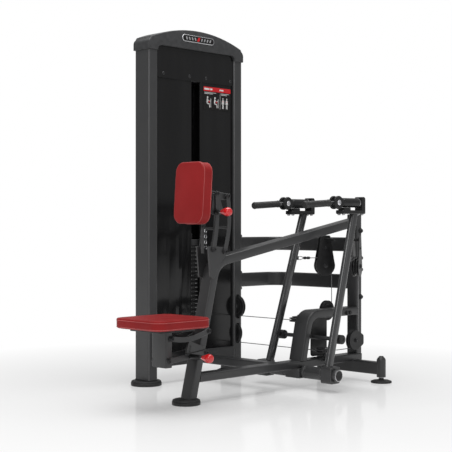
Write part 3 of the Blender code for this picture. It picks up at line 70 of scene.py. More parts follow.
class Surface:
    """A Principled material, with its noise, bump and edge nodes added one at a time."""

    def __init__(self, name, metallic=0.0, coat=0.0, specular=0.5):
        self.mat = bpy.data.materials.new(name)
        self.mat.use_nodes = True
        self.nodes = self.mat.node_tree.nodes
        self.links = self.mat.node_tree.links
        self.bsdf = self.nodes["Principled BSDF"]
        self.bsdf.inputs["Metallic"].default_value = metallic
        self.bsdf.inputs["Specular IOR Level"].default_value = specular
        self.bsdf.inputs["Coat Weight"].default_value = coat
        self.bsdf.inputs["Coat Roughness"].default_value = COAT_ROUGHNESS
        self.where = self.nodes.new("ShaderNodeTexCoord").outputs["Object"]
        self.normal = None
        self.colour = None

    def node(self, kind, **values):
        made = self.nodes.new(kind)
        for key, value in values.items():
            setattr(made, key, value)
        return made

    def noise(self, scale, detail=3.0, stretch=None):
        made = self.node("ShaderNodeTexNoise")
        made.inputs["Scale"].default_value = scale
        made.inputs["Detail"].default_value = detail
        self.links.new(self.stretched(stretch), made.inputs["Vector"])
        return made.outputs["Fac"]

    def stretched(self, stretch):
        if stretch is None:
            return self.where
        mapping = self.node("ShaderNodeMapping")
        mapping.inputs["Scale"].default_value = stretch
        self.links.new(self.where, mapping.inputs["Vector"])
        return mapping.outputs["Vector"]

    def ramp(self, source, low, high, first, last):
        """Source carried from the range low to high into the range first to last."""
        made = self.node("ShaderNodeMapRange")
        for key, value in (("From Min", low), ("From Max", high), ("To Min", first), ("To Max", last)):
            made.inputs[key].default_value = value
        self.links.new(source, made.inputs["Value"])
        return made.outputs["Result"]

    def mix(self, factor, one, two):
        made = self.node("ShaderNodeMix", data_type="RGBA", blend_type="MIX")
        self.links.new(factor, made.inputs["Factor"])
        for value, socket in ((one, made.inputs["A"]), (two, made.inputs["B"])):
            if isinstance(value, tuple):
                socket.default_value = (*value, 1.0)
            else:
                self.links.new(value, socket)
        return made.outputs["Result"]

    def tint(self, dark, light, scale, detail=3.0, stretch=None):
        """The base colour: two shades, mottled by noise."""
        factor = self.ramp(self.noise(scale, detail, stretch), *MOTTLE_BAND, 0.0, 1.0)
        self.colour = self.mix(factor, dark, light)
        self.links.new(self.colour, self.bsdf.inputs["Base Color"])
        return self

    def over(self, factor, colour):
        """Paints a colour over the base colour where factor is high."""
        self.colour = self.mix(factor, self.colour, colour)
        self.links.new(self.colour, self.bsdf.inputs["Base Color"])
        return self

    def gloss(self, low, high, scale):
        """Roughness that wanders between low and high."""
        self.links.new(self.ramp(self.noise(scale), *GLOSS_BAND, low, high), self.bsdf.inputs["Roughness"])
        return self

    def bump(self, height, distance, strength=1.0):
        """Adds relief on top of the relief so far."""
        made = self.node("ShaderNodeBump")
        made.inputs["Distance"].default_value = distance
        made.inputs["Strength"].default_value = strength
        self.links.new(height, made.inputs["Height"])
        if self.normal is not None:
            self.links.new(self.normal, made.inputs["Normal"])
        self.normal = made.outputs["Normal"]
        self.links.new(self.normal, self.bsdf.inputs["Normal"])
        return self

    def soft_edges(self, radius, painted_edge_highlight=None):
        """Rounds the shading of hard edges, and paints a lighter colour along them as a painted highlight."""
        bevel = self.node("ShaderNodeBevel", samples=BEVEL_SAMPLES)
        bevel.inputs["Radius"].default_value = radius
        self.normal = bevel.outputs["Normal"]
        self.links.new(self.normal, self.bsdf.inputs["Normal"])
        # The lighter colour along the edges is a painted highlight.
        if painted_edge_highlight:
            flat = self.node("ShaderNodeNewGeometry").outputs["True Normal"]
            dot = self.node("ShaderNodeVectorMath", operation="DOT_PRODUCT")
            self.links.new(bevel.outputs["Normal"], dot.inputs[0])
            self.links.new(flat, dot.inputs[1])
            self.over(self.ramp(dot.outputs["Value"], *EDGE_HIGHLIGHT_BAND), painted_edge_highlight)
        return self

    def voronoi(self, scale, feature="F1", stretch=None):
        made = self.node("ShaderNodeTexVoronoi", feature=feature)
        made.inputs["Scale"].default_value = scale
        self.links.new(self.stretched(stretch), made.inputs["Vector"])
        return made.outputs["Distance"]


def powder_coat():
    made = Surface("powder_coat", coat=0.10)
    made.tint((0.021, 0.0213, 0.0222), (0.032, 0.0323, 0.0335), 900.0, 2.0)
    # Painted highlight: a lighter grey along the tube edges.
    made.soft_edges(0.0032, painted_edge_highlight=(0.24, 0.24, 0.245))
    made.gloss(0.30, 0.44, 14.0)
    return made.bump(made.noise(520.0, 2.0), 0.00008, 0.35).bump(made.noise(60.0), 0.0003, 0.15).mat


def satin_panel():
    made = Surface("satin_panel", specular=0.30)
    made.tint((0.0062, 0.0062, 0.0065), (0.0078, 0.0078, 0.0082), 5.0, 2.0, stretch=(3.0, 1.0, 0.4))
    # Painted highlight: a faint lighter line along the panel edges.
    made.soft_edges(0.001, painted_edge_highlight=(0.05, 0.05, 0.05))
    made.gloss(0.09, 0.17, 6.0)
    made.bump(made.noise(240.0, 2.0), 0.00004, 0.12)
    return made.bump(made.noise(4.0, 2.0, (1.0, 1.0, 0.3)), 0.0016, 0.10).mat


def moulded_cap():
    made = Surface("moulded_cap", specular=0.35)
    made.tint((0.026, 0.0265, 0.028), (0.036, 0.0365, 0.038), 40.0)
    made.soft_edges(0.004)
    made.gloss(0.42, 0.55, 20.0)
    return made.bump(made.voronoi(900.0), 0.0002, 0.5).mat


def rubber():
    made = Surface("moulded_rubber")
    made.tint((0.0075, 0.0075, 0.0078), (0.016, 0.016, 0.0165), 120.0)
    made.gloss(0.5, 0.72, 30.0)
    return made.bump(made.noise(450.0, 4.0), 0.0003, 0.6).mat


def grip_rubber():
    made = Surface("grip_rubber")
    made.tint((0.008, 0.008, 0.008), (0.017, 0.017, 0.017), 90.0)
    made.gloss(0.42, 0.62, 26.0)
    return made.bump(made.voronoi(650.0), 0.0005, 0.8).mat


def nylon():
    made = Surface("pulley_nylon")
    made.tint((0.009, 0.009, 0.0095), (0.019, 0.019, 0.020), 60.0)
    made.gloss(0.28, 0.46, 22.0)
    return made.bump(made.noise(260.0), 0.0002, 0.4).mat


def chrome():
    made = Surface("polished_chrome", metallic=1.0)
    made.tint((0.66, 0.66, 0.68), (0.82, 0.82, 0.84), 30.0)
    made.gloss(0.07, 0.20, 45.0)
    return made.bump(made.noise(300.0, 2.0, (1.0, 1.0, 0.05)), 0.00005, 0.4).mat


def gloss_black():
    made = Surface("gloss_black", coat=0.08, specular=0.3)
    made.tint((0.0075, 0.0075, 0.008), (0.013, 0.013, 0.0135), 40.0)
    # Painted highlight: a faint lighter line along the edges.
    made.soft_edges(0.0015, painted_edge_highlight=(0.05, 0.05, 0.05))
    made.gloss(0.28, 0.42, 18.0)
    return made.bump(made.noise(420.0, 2.0), 0.0001, 0.5).mat


def zinc():
    made = Surface("zinc_plated", metallic=1.0)
    made.tint((0.34, 0.34, 0.35), (0.55, 0.55, 0.56), 160.0)
    made.gloss(0.24, 0.42, 90.0)
    return made.bump(made.noise(500.0), 0.0001, 0.5).mat


def black_steel():
    made = Surface("blackened_steel", metallic=0.7)
    made.tint((0.020, 0.020, 0.021), (0.040, 0.040, 0.042), 200.0)
    # Painted highlight: a lighter grey along the edges.
    made.soft_edges(0.0008, painted_edge_highlight=(0.16, 0.16, 0.16))
    made.gloss(0.28, 0.45, 60.0)
    return made.bump(made.noise(500.0), 0.0001, 0.5).mat


def gloss_tube():
    made = Surface("gloss_tube", coat=0.4)
    made.tint((0.030, 0.0303, 0.0315), (0.044, 0.0443, 0.046), 900.0, 2.0)
    # Painted highlight: a lighter grey along the lever edges.
    made.soft_edges(0.0028, painted_edge_highlight=(0.30, 0.30, 0.305))
    made.gloss(0.17, 0.27, 14.0)
    return made.bump(made.noise(520.0, 2.0), 0.00008, 0.3).mat


def cast_plate():
    made = Surface("cast_plate", metallic=0.4)
    made.tint((0.005, 0.005, 0.0052), (0.010, 0.010, 0.0105), 80.0)
    # Painted highlight: a lighter grey along the plate edges.
    made.soft_edges(0.001, painted_edge_highlight=(0.12, 0.12, 0.12))
    made.gloss(0.4, 0.6, 40.0)
    return made.bump(made.noise(220.0, 5.0), 0.0005, 0.6).mat


def coated_cable():
    made = Surface("coated_cable", coat=0.4)
    made.tint((0.10, 0.10, 0.105), (0.22, 0.22, 0.225), 700.0)
    made.gloss(0.22, 0.4, 120.0)
    return made.bump(made.voronoi(900.0, stretch=(1.0, 1.0, 0.35)), 0.0004, 0.7).mat


def vinyl(name, dark, light):
    """Grained upholstery: pebble cells, fine pores between them and soft wrinkles."""
    made = Surface(name, specular=0.12)
    made.tint(dark, light, 7.0, 4.0)
    pores = made.ramp(made.voronoi(620.0), 0.0, 0.45, 0.35, 0.0)
    made.over(pores, tuple(c * 0.55 for c in dark))
    made.bsdf.inputs["Sheen Weight"].default_value = 0.02
    made.bsdf.inputs["Sheen Roughness"].default_value = 0.4
    made.gloss(0.36, 0.54, 18.0)
    made.bump(made.voronoi(420.0, "SMOOTH_F1"), 0.0006, 0.55)
    made.bump(made.noise(1400.0), 0.0002, 0.5)
    return made.bump(made.noise(12.0, 3.0), 0.003, 0.25).mat


def red_knob():
    made = Surface("red_knob", coat=0.6)
    made.tint((0.50, 0.006, 0.009), (0.62, 0.012, 0.015), 25.0)
    made.gloss(0.18, 0.32, 35.0)
    return made.bump(made.noise(160.0), 0.0003, 0.3).mat


def printed(name, dark, light):
    made = Surface(name, coat=0.08, specular=0.25)
    made.tint(dark, light, 120.0)
    made.gloss(0.2, 0.34, 40.0)
    return made.bump(made.noise(500.0), 0.00005, 0.4).mat


MATS = {
    "frame": powder_coat(),
    "panel": satin_panel(),
    "cap_plastic": moulded_cap(),
    "rubber": rubber(),
    "grip": grip_rubber(),
    "nylon": nylon(),
    "chrome": chrome(),
    "badge": chrome(),
    "zinc": zinc(),
    "bolt": black_steel(),
    "gloss_black": gloss_black(),
    "lever": gloss_tube(),
    "weights": cast_plate(),
    "cable": coated_cable(),
    "upholstery": vinyl("red_vinyl", (0.232, 0.0125, 0.0130), (0.270, 0.0160, 0.0165)),
    # The piping is the cover's red painted lighter: a painted highlight along the seams.
    "piping": vinyl("red_piping_painted_highlight", (0.36, 0.075, 0.074), (0.46, 0.105, 0.102)),
    "red_plastic": red_knob(),
    "placard": printed("placard_black", (0.004, 0.004, 0.004), (0.006, 0.006, 0.006)),
    "print_red": printed("print_red", (0.42, 0.010, 0.014), (0.52, 0.016, 0.020)),
    "label": printed("plate_label", (0.16, 0.16, 0.16), (0.24, 0.24, 0.24)),
    "print_white": printed("print_white", (0.48, 0.48, 0.47), (0.62, 0.62, 0.61)),
    "pin_plastic": nylon(),
}
SLOT_OF = {row["node"]: row["material_slot"] for row in frame["record"]["subparts"]}
for node_name, node_object in NODES.items():
    chosen = MATS[SLOT_OF[node_name]]
    for slot_row in node_object.material_slots:
        slot_row.material = chosen


# ---------------------------------------------------------------- camera, floor and light
WHITE = (1.0, 1.0, 1.0, 1.0)
WORLD_LIGHT = 0.38
LAMPS = (
    ("key", (-3.7, -1.9, 3.2), (2.2, 2.2), 56.0),
    ("fill", (0.8, -4.5, 2.2), (3.0, 2.0), 11.0),
    ("top", (0.2, 0.0, 5.0), (4.5, 4.5), 230.0),
)
LAMP_TARGET = (0.0, 0.0, 0.9)
EYE = Vector((-4.009, -4.310, 0.96)) - ORIGIN
SENSOR, LENS, LENS_SHIFT = 36.0, 87.6106, -0.00221
FLOOR_HALF, FLOOR_DROP = 14.0, 0.0006
FLOOR_FADE = (0.7, 2.7, 0.24, 1.0)


def aimed(name, data, place, target):
    """A camera or lamp at place that looks at target."""
    made = bpy.data.objects.new(name, data)
    made.location = place
    made.rotation_euler = (Vector(target) - Vector(place)).to_track_quat("-Z", "Y").to_euler()
    bpy.context.collection.objects.link(made)
    return made


def studio_world():
    """A white backdrop that lights the machine more dimly than it looks."""
    world = bpy.data.worlds.new("studio")
    world.use_nodes = True
    nodes, links = world.node_tree.nodes, world.node_tree.links
    backdrop, light = nodes["Background"], nodes.new("ShaderNodeBackground")
    for shader, strength in ((backdrop, 1.0), (light, WORLD_LIGHT)):
        shader.inputs["Color"].default_value = WHITE
        shader.inputs["Strength"].default_value = strength
    path = nodes.new("ShaderNodeLightPath")
    choice = nodes.new("ShaderNodeMixShader")
    links.new(path.outputs["Is Camera Ray"], choice.inputs["Fac"])
    links.new(light.outputs["Background"], choice.inputs[1])
    links.new(backdrop.outputs["Background"], choice.inputs[2])
    links.new(choice.outputs["Shader"], nodes["World Output"].inputs["Surface"])
    return world


def floor_material():
    """A pale gloss floor that turns into the white backdrop away from the machine."""
    shine = Surface("studio_floor")
    shine.tint((0.92, 0.92, 0.92), (0.94, 0.94, 0.94), 0.8)
    shine.gloss(0.09, 0.13, 1.5)
    far = shine.node("ShaderNodeVectorMath", operation="LENGTH")
    shine.links.new(shine.where, far.inputs[0])
    fade = shine.ramp(far.outputs["Value"], *FLOOR_FADE)
    white = shine.node("ShaderNodeEmission")
    white.inputs["Strength"].default_value = 1.0
    both = shine.node("ShaderNodeMixShader")
    shine.links.new(fade, both.inputs["Fac"])
    shine.links.new(shine.bsdf.outputs["BSDF"], both.inputs[1])
    shine.links.new(white.outputs["Emission"], both.inputs[2])
    shine.links.new(both.outputs["Shader"], shine.nodes["Material Output"].inputs["Surface"])
    return shine.mat


def stage():
    camera = bpy.data.cameras.new("camera")
    camera.sensor_width, camera.lens, camera.shift_y = SENSOR, LENS, LENS_SHIFT
    camera.clip_end = 60.0
    scene = bpy.context.scene
    scene.camera = aimed("camera", camera, EYE, EYE + Vector((1.0, 1.0, 0.0)))
    scene.view_settings.view_transform = "Standard"
    scene.world = studio_world()
    for name, place, size, power in LAMPS:
        lamp = bpy.data.lights.new(name, "AREA")
        lamp.shape = "RECTANGLE"
        lamp.size, lamp.size_y = size
        lamp.energy = power
        aimed(name, lamp, place, LAMP_TARGET)
    floor_mesh = bpy.data.meshes.new("studio_floor")
    bm = bmesh.new()
    bmesh.ops.create_grid(bm, x_segments=2, y_segments=2, size=FLOOR_HALF)
    bm.to_mesh(floor_mesh)
    bm.free()
    floor = bpy.data.objects.new("studio_floor", floor_mesh)
    floor.location.z = -FLOOR_DROP
    bpy.context.collection.objects.link(floor)
    floor_mesh.materials.append(floor_material())


stage()


# ---------------------------------------------------------------- shapes
SHARP_ANGLE = math.radians(35.0)
PLACE = {
    "X": lambda a, b, t: (t, a, b),
    "Y": lambda a, b, t: (a, t, b),
    "Z": lambda a, b, t: (a, b, t),
}


def arc(cx, cy, radius, start, end, steps):
    angles = [math.radians(start + (end - start) * n / steps) for n in range(steps + 1)]
    return [(cx + radius * math.cos(a), cy + radius * math.sin(a)) for a in angles]


def rounded(x0, y0, x1, y1, radius, steps=6):
    out = []
    for x, y, start in ((x1, y1, 0), (x0, y1, 90), (x0, y0, 180), (x1, y0, 270)):
        cx = x - math.copysign(radius, x - (x0 + x1) / 2)
        cy = y - math.copysign(radius, y - (y0 + y1) / 2)
        out += arc(cx, cy, radius, start, start + 90, steps)
    return out


def stacked(rows, place):
    """A solid through rows of (outline, height), each point of which place puts in space."""
    bm = bmesh.new()
    skin(bm, [[bm.verts.new(place(a, b, t)) for a, b in ring] for ring, t in rows])
    return bm


def prism(outline, axis, low, high):
    return stacked(((outline, low), (outline, high)), PLACE[axis])


def skin(bm, rings, closed=False):
    """Joins rings of equal length, and caps the two ends unless the rings close on themselves."""
    count = len(rings[0])
    for one, two in zip(rings, rings[1:] + rings[:1] if closed else rings[1:]):
        for n in range(count):
            bm.faces.new([one[n], one[(n + 1) % count], two[(n + 1) % count], two[n]])
    if not closed:
        bm.faces.new(list(reversed(rings[0])))
        bm.faces.new(rings[-1])
    bmesh.ops.recalc_face_normals(bm, faces=bm.faces)


def turned(profile, centre, axis, segments=40):
    """Turns a profile of (radius, distance along the axis). One from axis to axis makes a solid."""
    turn = Vector((0, 0, 1)).rotation_difference(Vector(axis).normalized()).to_matrix()
    bm = bmesh.new()
    rings = []
    for radius, height in profile:
        count = 1 if radius == 0 else segments
        ring = []
        for n in range(count):
            angle = 2 * math.pi * n / segments
            spot = Vector((radius * math.cos(angle), radius * math.sin(angle), height))
            ring.append(bm.verts.new(Vector(centre) + turn @ spot))
        rings.append(ring)
    hollow = profile[0][0] > 0
    for one, two in zip(rings, rings[1:] + rings[:1] if hollow else rings[1:]):
        for n in range(segments):
            corners = [one[n % len(one)], one[(n + 1) % len(one)], two[(n + 1) % len(two)], two[n % len(two)]]
            bm.faces.new(list(dict.fromkeys(corners)))
    bmesh.ops.recalc_face_normals(bm, faces=bm.faces)
    return bm


def wire(points, radius, segments=10):
    """A round bar along a line of points."""
    points = [Vector(p) for p in points]
    bm = bmesh.new()
    rings = []
    way = (points[1] - points[0]).normalized()
    side = way.orthogonal().normalized()
    for n, point in enumerate(points):
        before = (point - points[max(n - 1, 0)]).normalized()
        after = (points[min(n + 1, len(points) - 1)] - point).normalized()
        look_way = (before + after).normalized()
        side = (side - look_way * side.dot(look_way)).normalized()
        other = look_way.cross(side)
        ring = []
        for m in range(segments):
            angle = 2 * math.pi * m / segments
            ring.append(bm.verts.new(point + (side * math.cos(angle) + other * math.sin(angle)) * radius))
        rings.append(ring)
    skin(bm, rings)
    return bm


def placed(name, bm):
    """The mesh as an object, moved from the front foot's coordinates to the row frame."""
    bmesh.ops.translate(bm, vec=-ORIGIN, verts=bm.verts)
    mesh = bpy.data.meshes.new(name)
    bm.to_mesh(mesh)
    bm.free()
    made = bpy.data.objects.new(name, mesh)
    bpy.context.collection.objects.link(made)
    return made


def piece(name, bm, mat, body, replaces=()):
    """A piece with its material, riding on a CAD body where one is given."""
    made = placed(name, bm)
    made.data.shade_smooth()
    made.data.set_sharp_from_angle(angle=SHARP_ANGLE)
    made.data.materials.append(MATS[mat])
    if body:
        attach(made, body)
    if replaces:
        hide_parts(*replaces)
    return made


# ---------------------------------------------------------------- driving dimensions, as in the CAD source
POST_X, POST_Y = 0.070, 0.128
TOWER_LEFT, TOWER_RIGHT, TOWER_FRONT = 0.284, 1.075, 0.630
TOWER_BACK = TOWER_FRONT + POST_Y
CAP_BOTTOM, CAP_END, CAP_PEAK, CAP_OVERHANG, OPENING_TOP = 2.007, 2.080, 2.158, 0.008, 2.039
BAY_LEFT, BAY_RIGHT = TOWER_LEFT + POST_X, TOWER_RIGHT - POST_X
PANEL_Y = 0.650
PLACARD = (0.749, 0.990, 1.683, 1.828)
BADGE = (0.545, 0.815, 2.0835, 2.1265)
FOOT_TOP = 0.030
TUBE_W, TUBE_T = 0.080, 0.050
POST_FOOT_X, POST_LEAN = 0.0109, 0.2464
BEAM_AT, BEAM_SLOPE, MAIN_BEND = (0.250, 0.7646), 0.182, 0.120
UPRIGHT_X, UPRIGHT_TOP = 1.4136, 1.027
CROSS_X, CROSS_HALF = 1.401, 0.238
CURVED_Y, CURVED_TALL, CURVED_BEND = 0.680, 0.088, 0.110
ARCH_HALF, ARCH_T, ARCH_TOP, ARCH_BEND = 0.052, 0.048, 0.450, 0.085
ARCH_FOOT_X, ARCH_LEAN, LOW_BEAM_HIGH = 0.880, 0.232, 0.160
PIVOT_X, PIVOT_Z = 0.8966, 0.096
SLEEVE_R, SLEEVE_IN, CLAMP_IN, CLAMP_OUT, LEVER_END = 0.037, 0.0573, 0.215, 0.293, 0.322
LEVER_TOP, LEVER_LOW_Y, LEVER_TOP_Y = (1.183, 1.030), 0.233, 0.199
LEVER_DEEP, LEVER_WIDE = 0.056, 0.036
BUMPER_Z, BUMPER_R, STOP_HALF = 0.290, 0.0275, 0.200
LEVER_LEAN = math.atan2(LEVER_TOP[0] - PIVOT_X, LEVER_TOP[1] - PIVOT_Z)
STOP_X = PIVOT_X + (BUMPER_Z - PIVOT_Z) * math.tan(LEVER_LEAN)
STOP_X += (LEVER_DEEP / 2 + BUMPER_R + 0.0012) / math.cos(LEVER_LEAN)
BRACKET_LOW, BRACKET_PLATE, BRACKET_FRONT, BRACKET_BACK, BRACKET_WIDE = 1.026, 0.022, 1.045, 1.261, 0.060
BARREL_Z, BARREL_R, KNUCKLE_X, KNUCKLE_R = 1.092, 0.028, 1.016, 0.040
GRIP_NEAR, GRIP_TIP, GRIP_R, GRIP_DROOP = 0.950, 0.730, 0.020, math.radians(3.4)
CABLE_R, CABLE_END_AT, CABLE_START = 0.0025, 0.034, 0.078
LUG = Vector((1.150, 0.207, 0.755))
RUN_X, RUN_Z = 1.040, {"left": 0.379, "right": 0.209}
PULLEY_R, PULLEY_CABLE_R, PULLEY_HALF, AXLE_R = 0.059, 0.048, 0.011, 0.008
SIDE_R, SIDE_CABLE_R, SIDE_Y = 0.072, 0.058, {"left": 0.644, "right": 0.672}
STACK_X, STACK_Y, STACK_LOW, PLATE_PITCH, TOP_PULLEY_Z = 0.680, 0.705, 0.235, 0.025, 1.975
TOP_PULLEY_X = (STACK_X + PULLEY_CABLE_R, RUN_X - PULLEY_CABLE_R)
FRAME_PULLEY = Vector((1.302, 0.128, 0.707))
HOUSING_R, CHEEK_T, CHEEK_AT, HOUSING_TOP = 0.063, 0.005, 0.017, 0.895
SEAT_LOW, SEAT_HIGH, SEAT_FRONT, SEAT_BACK, SEAT_HALF, SEAT_CORNER = 0.420, 0.480, -0.362, 0.028, 0.184, 0.060
SEAT_UPPER_PIN, SEAT_LOWER_PIN, SEAT_LINK, SEAT_PLUNGER_AT = (0.110, 0.390), (0.090, 0.275), (
    -0.270, -0.024
), 0.115
PAD_FRONT, PAD_HALF, PAD_LOW, PAD_HIGH, PAD_THICK = -0.002, 0.1127, 0.963, 1.306, 0.078
PAD_TILT, CHEST_ARCH = math.radians(4.0), 0.015
COVER_INSET, COVER_SWELL, COVER_HELD, PAD_FILL = 0.002, 0.006, 0.012, 0.85
CHEST_FRONT_PIN, CHEST_REAR_PIN, CHEST_LINK = (0.156, 0.827), (0.241, 0.815), (0.023, 0.305)
CHEST_PLUNGER = (0.176, 1.031)
GUSSET_OUT, INDEX_TOP, PIN_BOLT_R = 0.0485, 0.947, 0.008
LIFT_LOW, YOKE_TOP = 0.6353, 0.9056


def frame_pulley_at(s):
    return Vector((FRAME_PULLEY.x, s * FRAME_PULLEY.y, FRAME_PULLEY.z))


def frame_way(s):
    """The direction in plan from a lever's lug to its frame pulley."""
    return Vector((FRAME_PULLEY.x - LUG.x, s * (FRAME_PULLEY.y - LUG.y), 0)).normalized()


DOWN_X = FRAME_PULLEY.x + PULLEY_CABLE_R * frame_way(1).x
DOWN_Y = {"left": FRAME_PULLEY.y + PULLEY_CABLE_R * frame_way(1).y}
DOWN_Y["right"] = -DOWN_Y["left"]
CORNER_X = RUN_X + PULLEY_CABLE_R
SIDES = (("left", 1), ("right", -1))


# ---------------------------------------------------------------- upholstery
def remeshed(name, bm, voxel):
    """The mesh as an object with an even grid of faces."""
    made = placed(name, bm)
    remesh = made.modifiers.new("remesh", "REMESH")
    remesh.mode = "VOXEL"
    remesh.voxel_size = voxel
    graph = bpy.context.evaluated_depsgraph_get()
    even = bpy.data.meshes.new_from_object(made.evaluated_get(graph))
    made.modifiers.clear()
    made.data = even
    return made


CLOTH = {
    "quality": 6,
    "mass": 0.3,
    "tension_stiffness": 18.0,
    "compression_stiffness": 18.0,
    "bending_stiffness": 2.0,
    "use_pressure": True,
    "uniform_pressure_force": 4.0,
}
CLOTH_STEPS, EVENING_ROUNDS = 20, 150


def inflate(pad, held):
    """Lets the cover swell off its board as cloth, then evens the swell out as a stretched cover does."""
    mesh = pad.data
    start = [v.co.copy() for v in mesh.vertices]
    group = pad.vertex_groups.new(name="board")
    group.add([v.index for v in mesh.vertices if held(v.co + ORIGIN)], 1.0, "REPLACE")
    cloth = pad.modifiers.new("cover", "CLOTH")
    for setting, value in CLOTH.items():
        setattr(cloth.settings, setting, value)
    cloth.settings.effector_weights.gravity = 0.0
    cloth.settings.vertex_group_mass = group.name
    scene = bpy.context.scene
    for step in range(1, CLOTH_STEPS + 1):
        scene.frame_set(step)
    graph = bpy.context.evaluated_depsgraph_get()
    after = [v.co.copy() for v in pad.evaluated_get(graph).data.vertices]
    pad.modifiers.clear()
    pad.vertex_groups.clear()
    scene.frame_set(1)
    normals = [v.normal.copy() for v in mesh.vertices]
    swell = [max(0.0, (last - first).dot(n)) for first, last, n in zip(start, after, normals)]
    swell = evened(mesh, swell, EVENING_ROUNDS)
    tallest = max(swell)
    for vertex, normal, much in zip(mesh.vertices, normals, swell):
        vertex.co += normal * much * COVER_SWELL / tallest


def evened(mesh, values, rounds):
    """Values at a mesh's vertices, averaged again and again with their neighbours'."""
    ends = np.array([edge.vertices[:] for edge in mesh.edges])
    degree = np.bincount(ends.ravel(), minlength=len(values))
    values = np.array(values)
    for _ in range(rounds):
        total = np.bincount(ends[:, 0], values[ends[:, 1]], len(values))
        total += np.bincount(ends[:, 1], values[ends[:, 0]], len(values))
        values = 0.5 * values + 0.5 * total / degree
    return values.tolist()


def smoothed(pad, rounds=3):
    """Softens the pad's rims."""
    bm = bmesh.new()
    bm.from_mesh(pad.data)
    for _ in range(rounds):
        bmesh.ops.smooth_vert(
            bm, verts=bm.verts, factor=0.5, use_axis_x=True, use_axis_y=True, use_axis_z=True
        )
    bm.to_mesh(pad.data)
    bm.free()


def cover_finish(pad, body, node):
    pad.data.materials.clear()
    pad.data.materials.append(MATS["upholstery"])
    pad.data.shade_smooth()
    subdivision = pad.modifiers.new("smooth", "SUBSURF")
    subdivision.levels = subdivision.render_levels = 1
    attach(pad, body)
    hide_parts(node)


def piping(name, pad, line, inward, radius, body):
    """A welt cord along a closed line, laid on the cover's own surface, in a lighter red that is a painted
    highlight along the seam.
    """
    bm = bmesh.new()
    bm.from_mesh(pad.data)
    tree = BVHTree.FromBMesh(bm)
    bm.free()
    points = []
    for spot, way in zip(line, inward):
        start = Vector(spot) - ORIGIN - Vector(way).normalized() * 0.04
        hit = tree.ray_cast(start, Vector(way).normalized())[0]
        if hit is not None:
            points.append(hit + ORIGIN - Vector(way).normalized() * radius * 0.15)
    bm = bmesh.new()
    rings = []
    count = len(points)
    normal = Vector((0, 0, 0))
    centre = sum(points, Vector()) / count
    for n in range(count):
        normal += (points[n] - centre).cross(points[(n + 1) % count] - centre)
    normal.normalize()
    for n, point in enumerate(points):
        way = (points[(n + 1) % count] - points[n - 1]).normalized()
        side = normal.cross(way).normalized()
        up = way.cross(side)
        ring = []
        for m in range(8):
            angle = 2 * math.pi * m / 8
            ring.append(bm.verts.new(point + (side * math.cos(angle) + up * math.sin(angle)) * radius))
        rings.append(ring)
    skin(bm, rings, closed=True)
    return piece(name, bm, "piping", body)


def round_line(x0, y0, x1, y1, radius, steps, gap):
    """Evenly spaced points round a rounded rectangle, with the inward direction at each."""
    corners = rounded(x0, y0, x1, y1, radius, steps)
    line = []
    for one, two in zip(corners, corners[1:] + corners[:1]):
        long = math.dist(one, two)
        parts = max(1, round(long / gap))
        line += [
            (one[0] + (two[0] - one[0]) * k / parts, one[1] + (two[1] - one[1]) * k / parts)
            for k in range(parts)
        ]
    inward = []
    for n in range(len(line)):
        a, b = line[n - 1], line[(n + 1) % len(line)]
        dx, dy = b[0] - a[0], b[1] - a[1]
        inward.append((-dy, dx))
    return line, inward


def seat_pad():
    inset = COVER_INSET
    box = (SEAT_FRONT + inset, -SEAT_HALF + inset, SEAT_BACK - inset, SEAT_HALF - inset)
    solid = prism(rounded(*box, SEAT_CORNER - 0.004, 10), "Z", SEAT_LOW + 0.001, SEAT_HIGH - 0.005)
    pad = remeshed("seat_cushion", solid, 0.006)
    smoothed(pad)
    inflate(pad, lambda p: p.z < SEAT_LOW + COVER_HELD)
    cover_finish(pad, "seat", "seat_pad")
    for name, z in (("seat_piping_top", SEAT_HIGH - 0.016), ("seat_piping_low", SEAT_LOW + 0.009)):
        line, inward = round_line(SEAT_FRONT, -SEAT_HALF, SEAT_BACK, SEAT_HALF, SEAT_CORNER, 10, 0.012)
        spots = [(x, y, z) for x, y in line]
        piping(name, pad, spots, [(a, b, 0) for a, b in inward], 0.0017, "seat")
    board = prism(
        rounded(SEAT_FRONT + 0.02, -SEAT_HALF + 0.02, SEAT_BACK - 0.02, SEAT_HALF - 0.02, 0.045, 8),
        "Z",
        SEAT_LOW - 0.0002,
        SEAT_LOW + 0.004,
    )
    piece("seat_board", board, "pin_plastic", "seat")


def chest_pad():
    lean = Matrix.Rotation(PAD_TILT, 3, "Y")
    foot = Vector((PAD_FRONT, 0, PAD_LOW))
    inset = COVER_INSET
    middle = (PAD_LOW + PAD_HIGH) / 2
    outline = []
    for y, z in rounded(-PAD_HALF + inset, PAD_LOW + inset, PAD_HALF - inset, PAD_HIGH - inset, 0.044, 10):
        arch = CHEST_ARCH * (1 - (y / PAD_HALF) ** 2) - CHEST_ARCH
        outline.append((y, z + (arch if z > middle else -arch)))
    solid = prism(outline, "X", PAD_FRONT + 0.005, PAD_FRONT + PAD_THICK - 0.001)
    bmesh.ops.rotate(solid, cent=foot, matrix=lean, verts=solid.verts)
    pad = remeshed("chest_cushion", solid, 0.005)
    smoothed(pad)
    back = lean.inverted()
    inflate(pad, lambda p: (back @ (p - foot)).x > PAD_THICK - COVER_HELD)
    cover_finish(pad, "chest", "chest_pad")
    for name, deep in (("chest_piping_front", 0.013), ("chest_piping_back", PAD_THICK - 0.010)):
        line, inward = round_line(-PAD_HALF, PAD_LOW + 0.004, PAD_HALF, PAD_HIGH - 0.004, 0.040, 10, 0.012)
        spots = [foot + lean @ (Vector((PAD_FRONT + deep, y, z)) - foot) for y, z in line]
        ways = [lean @ Vector((0, a, b)) for a, b in inward]
        piping(name, pad, spots, ways, 0.0016, "chest")


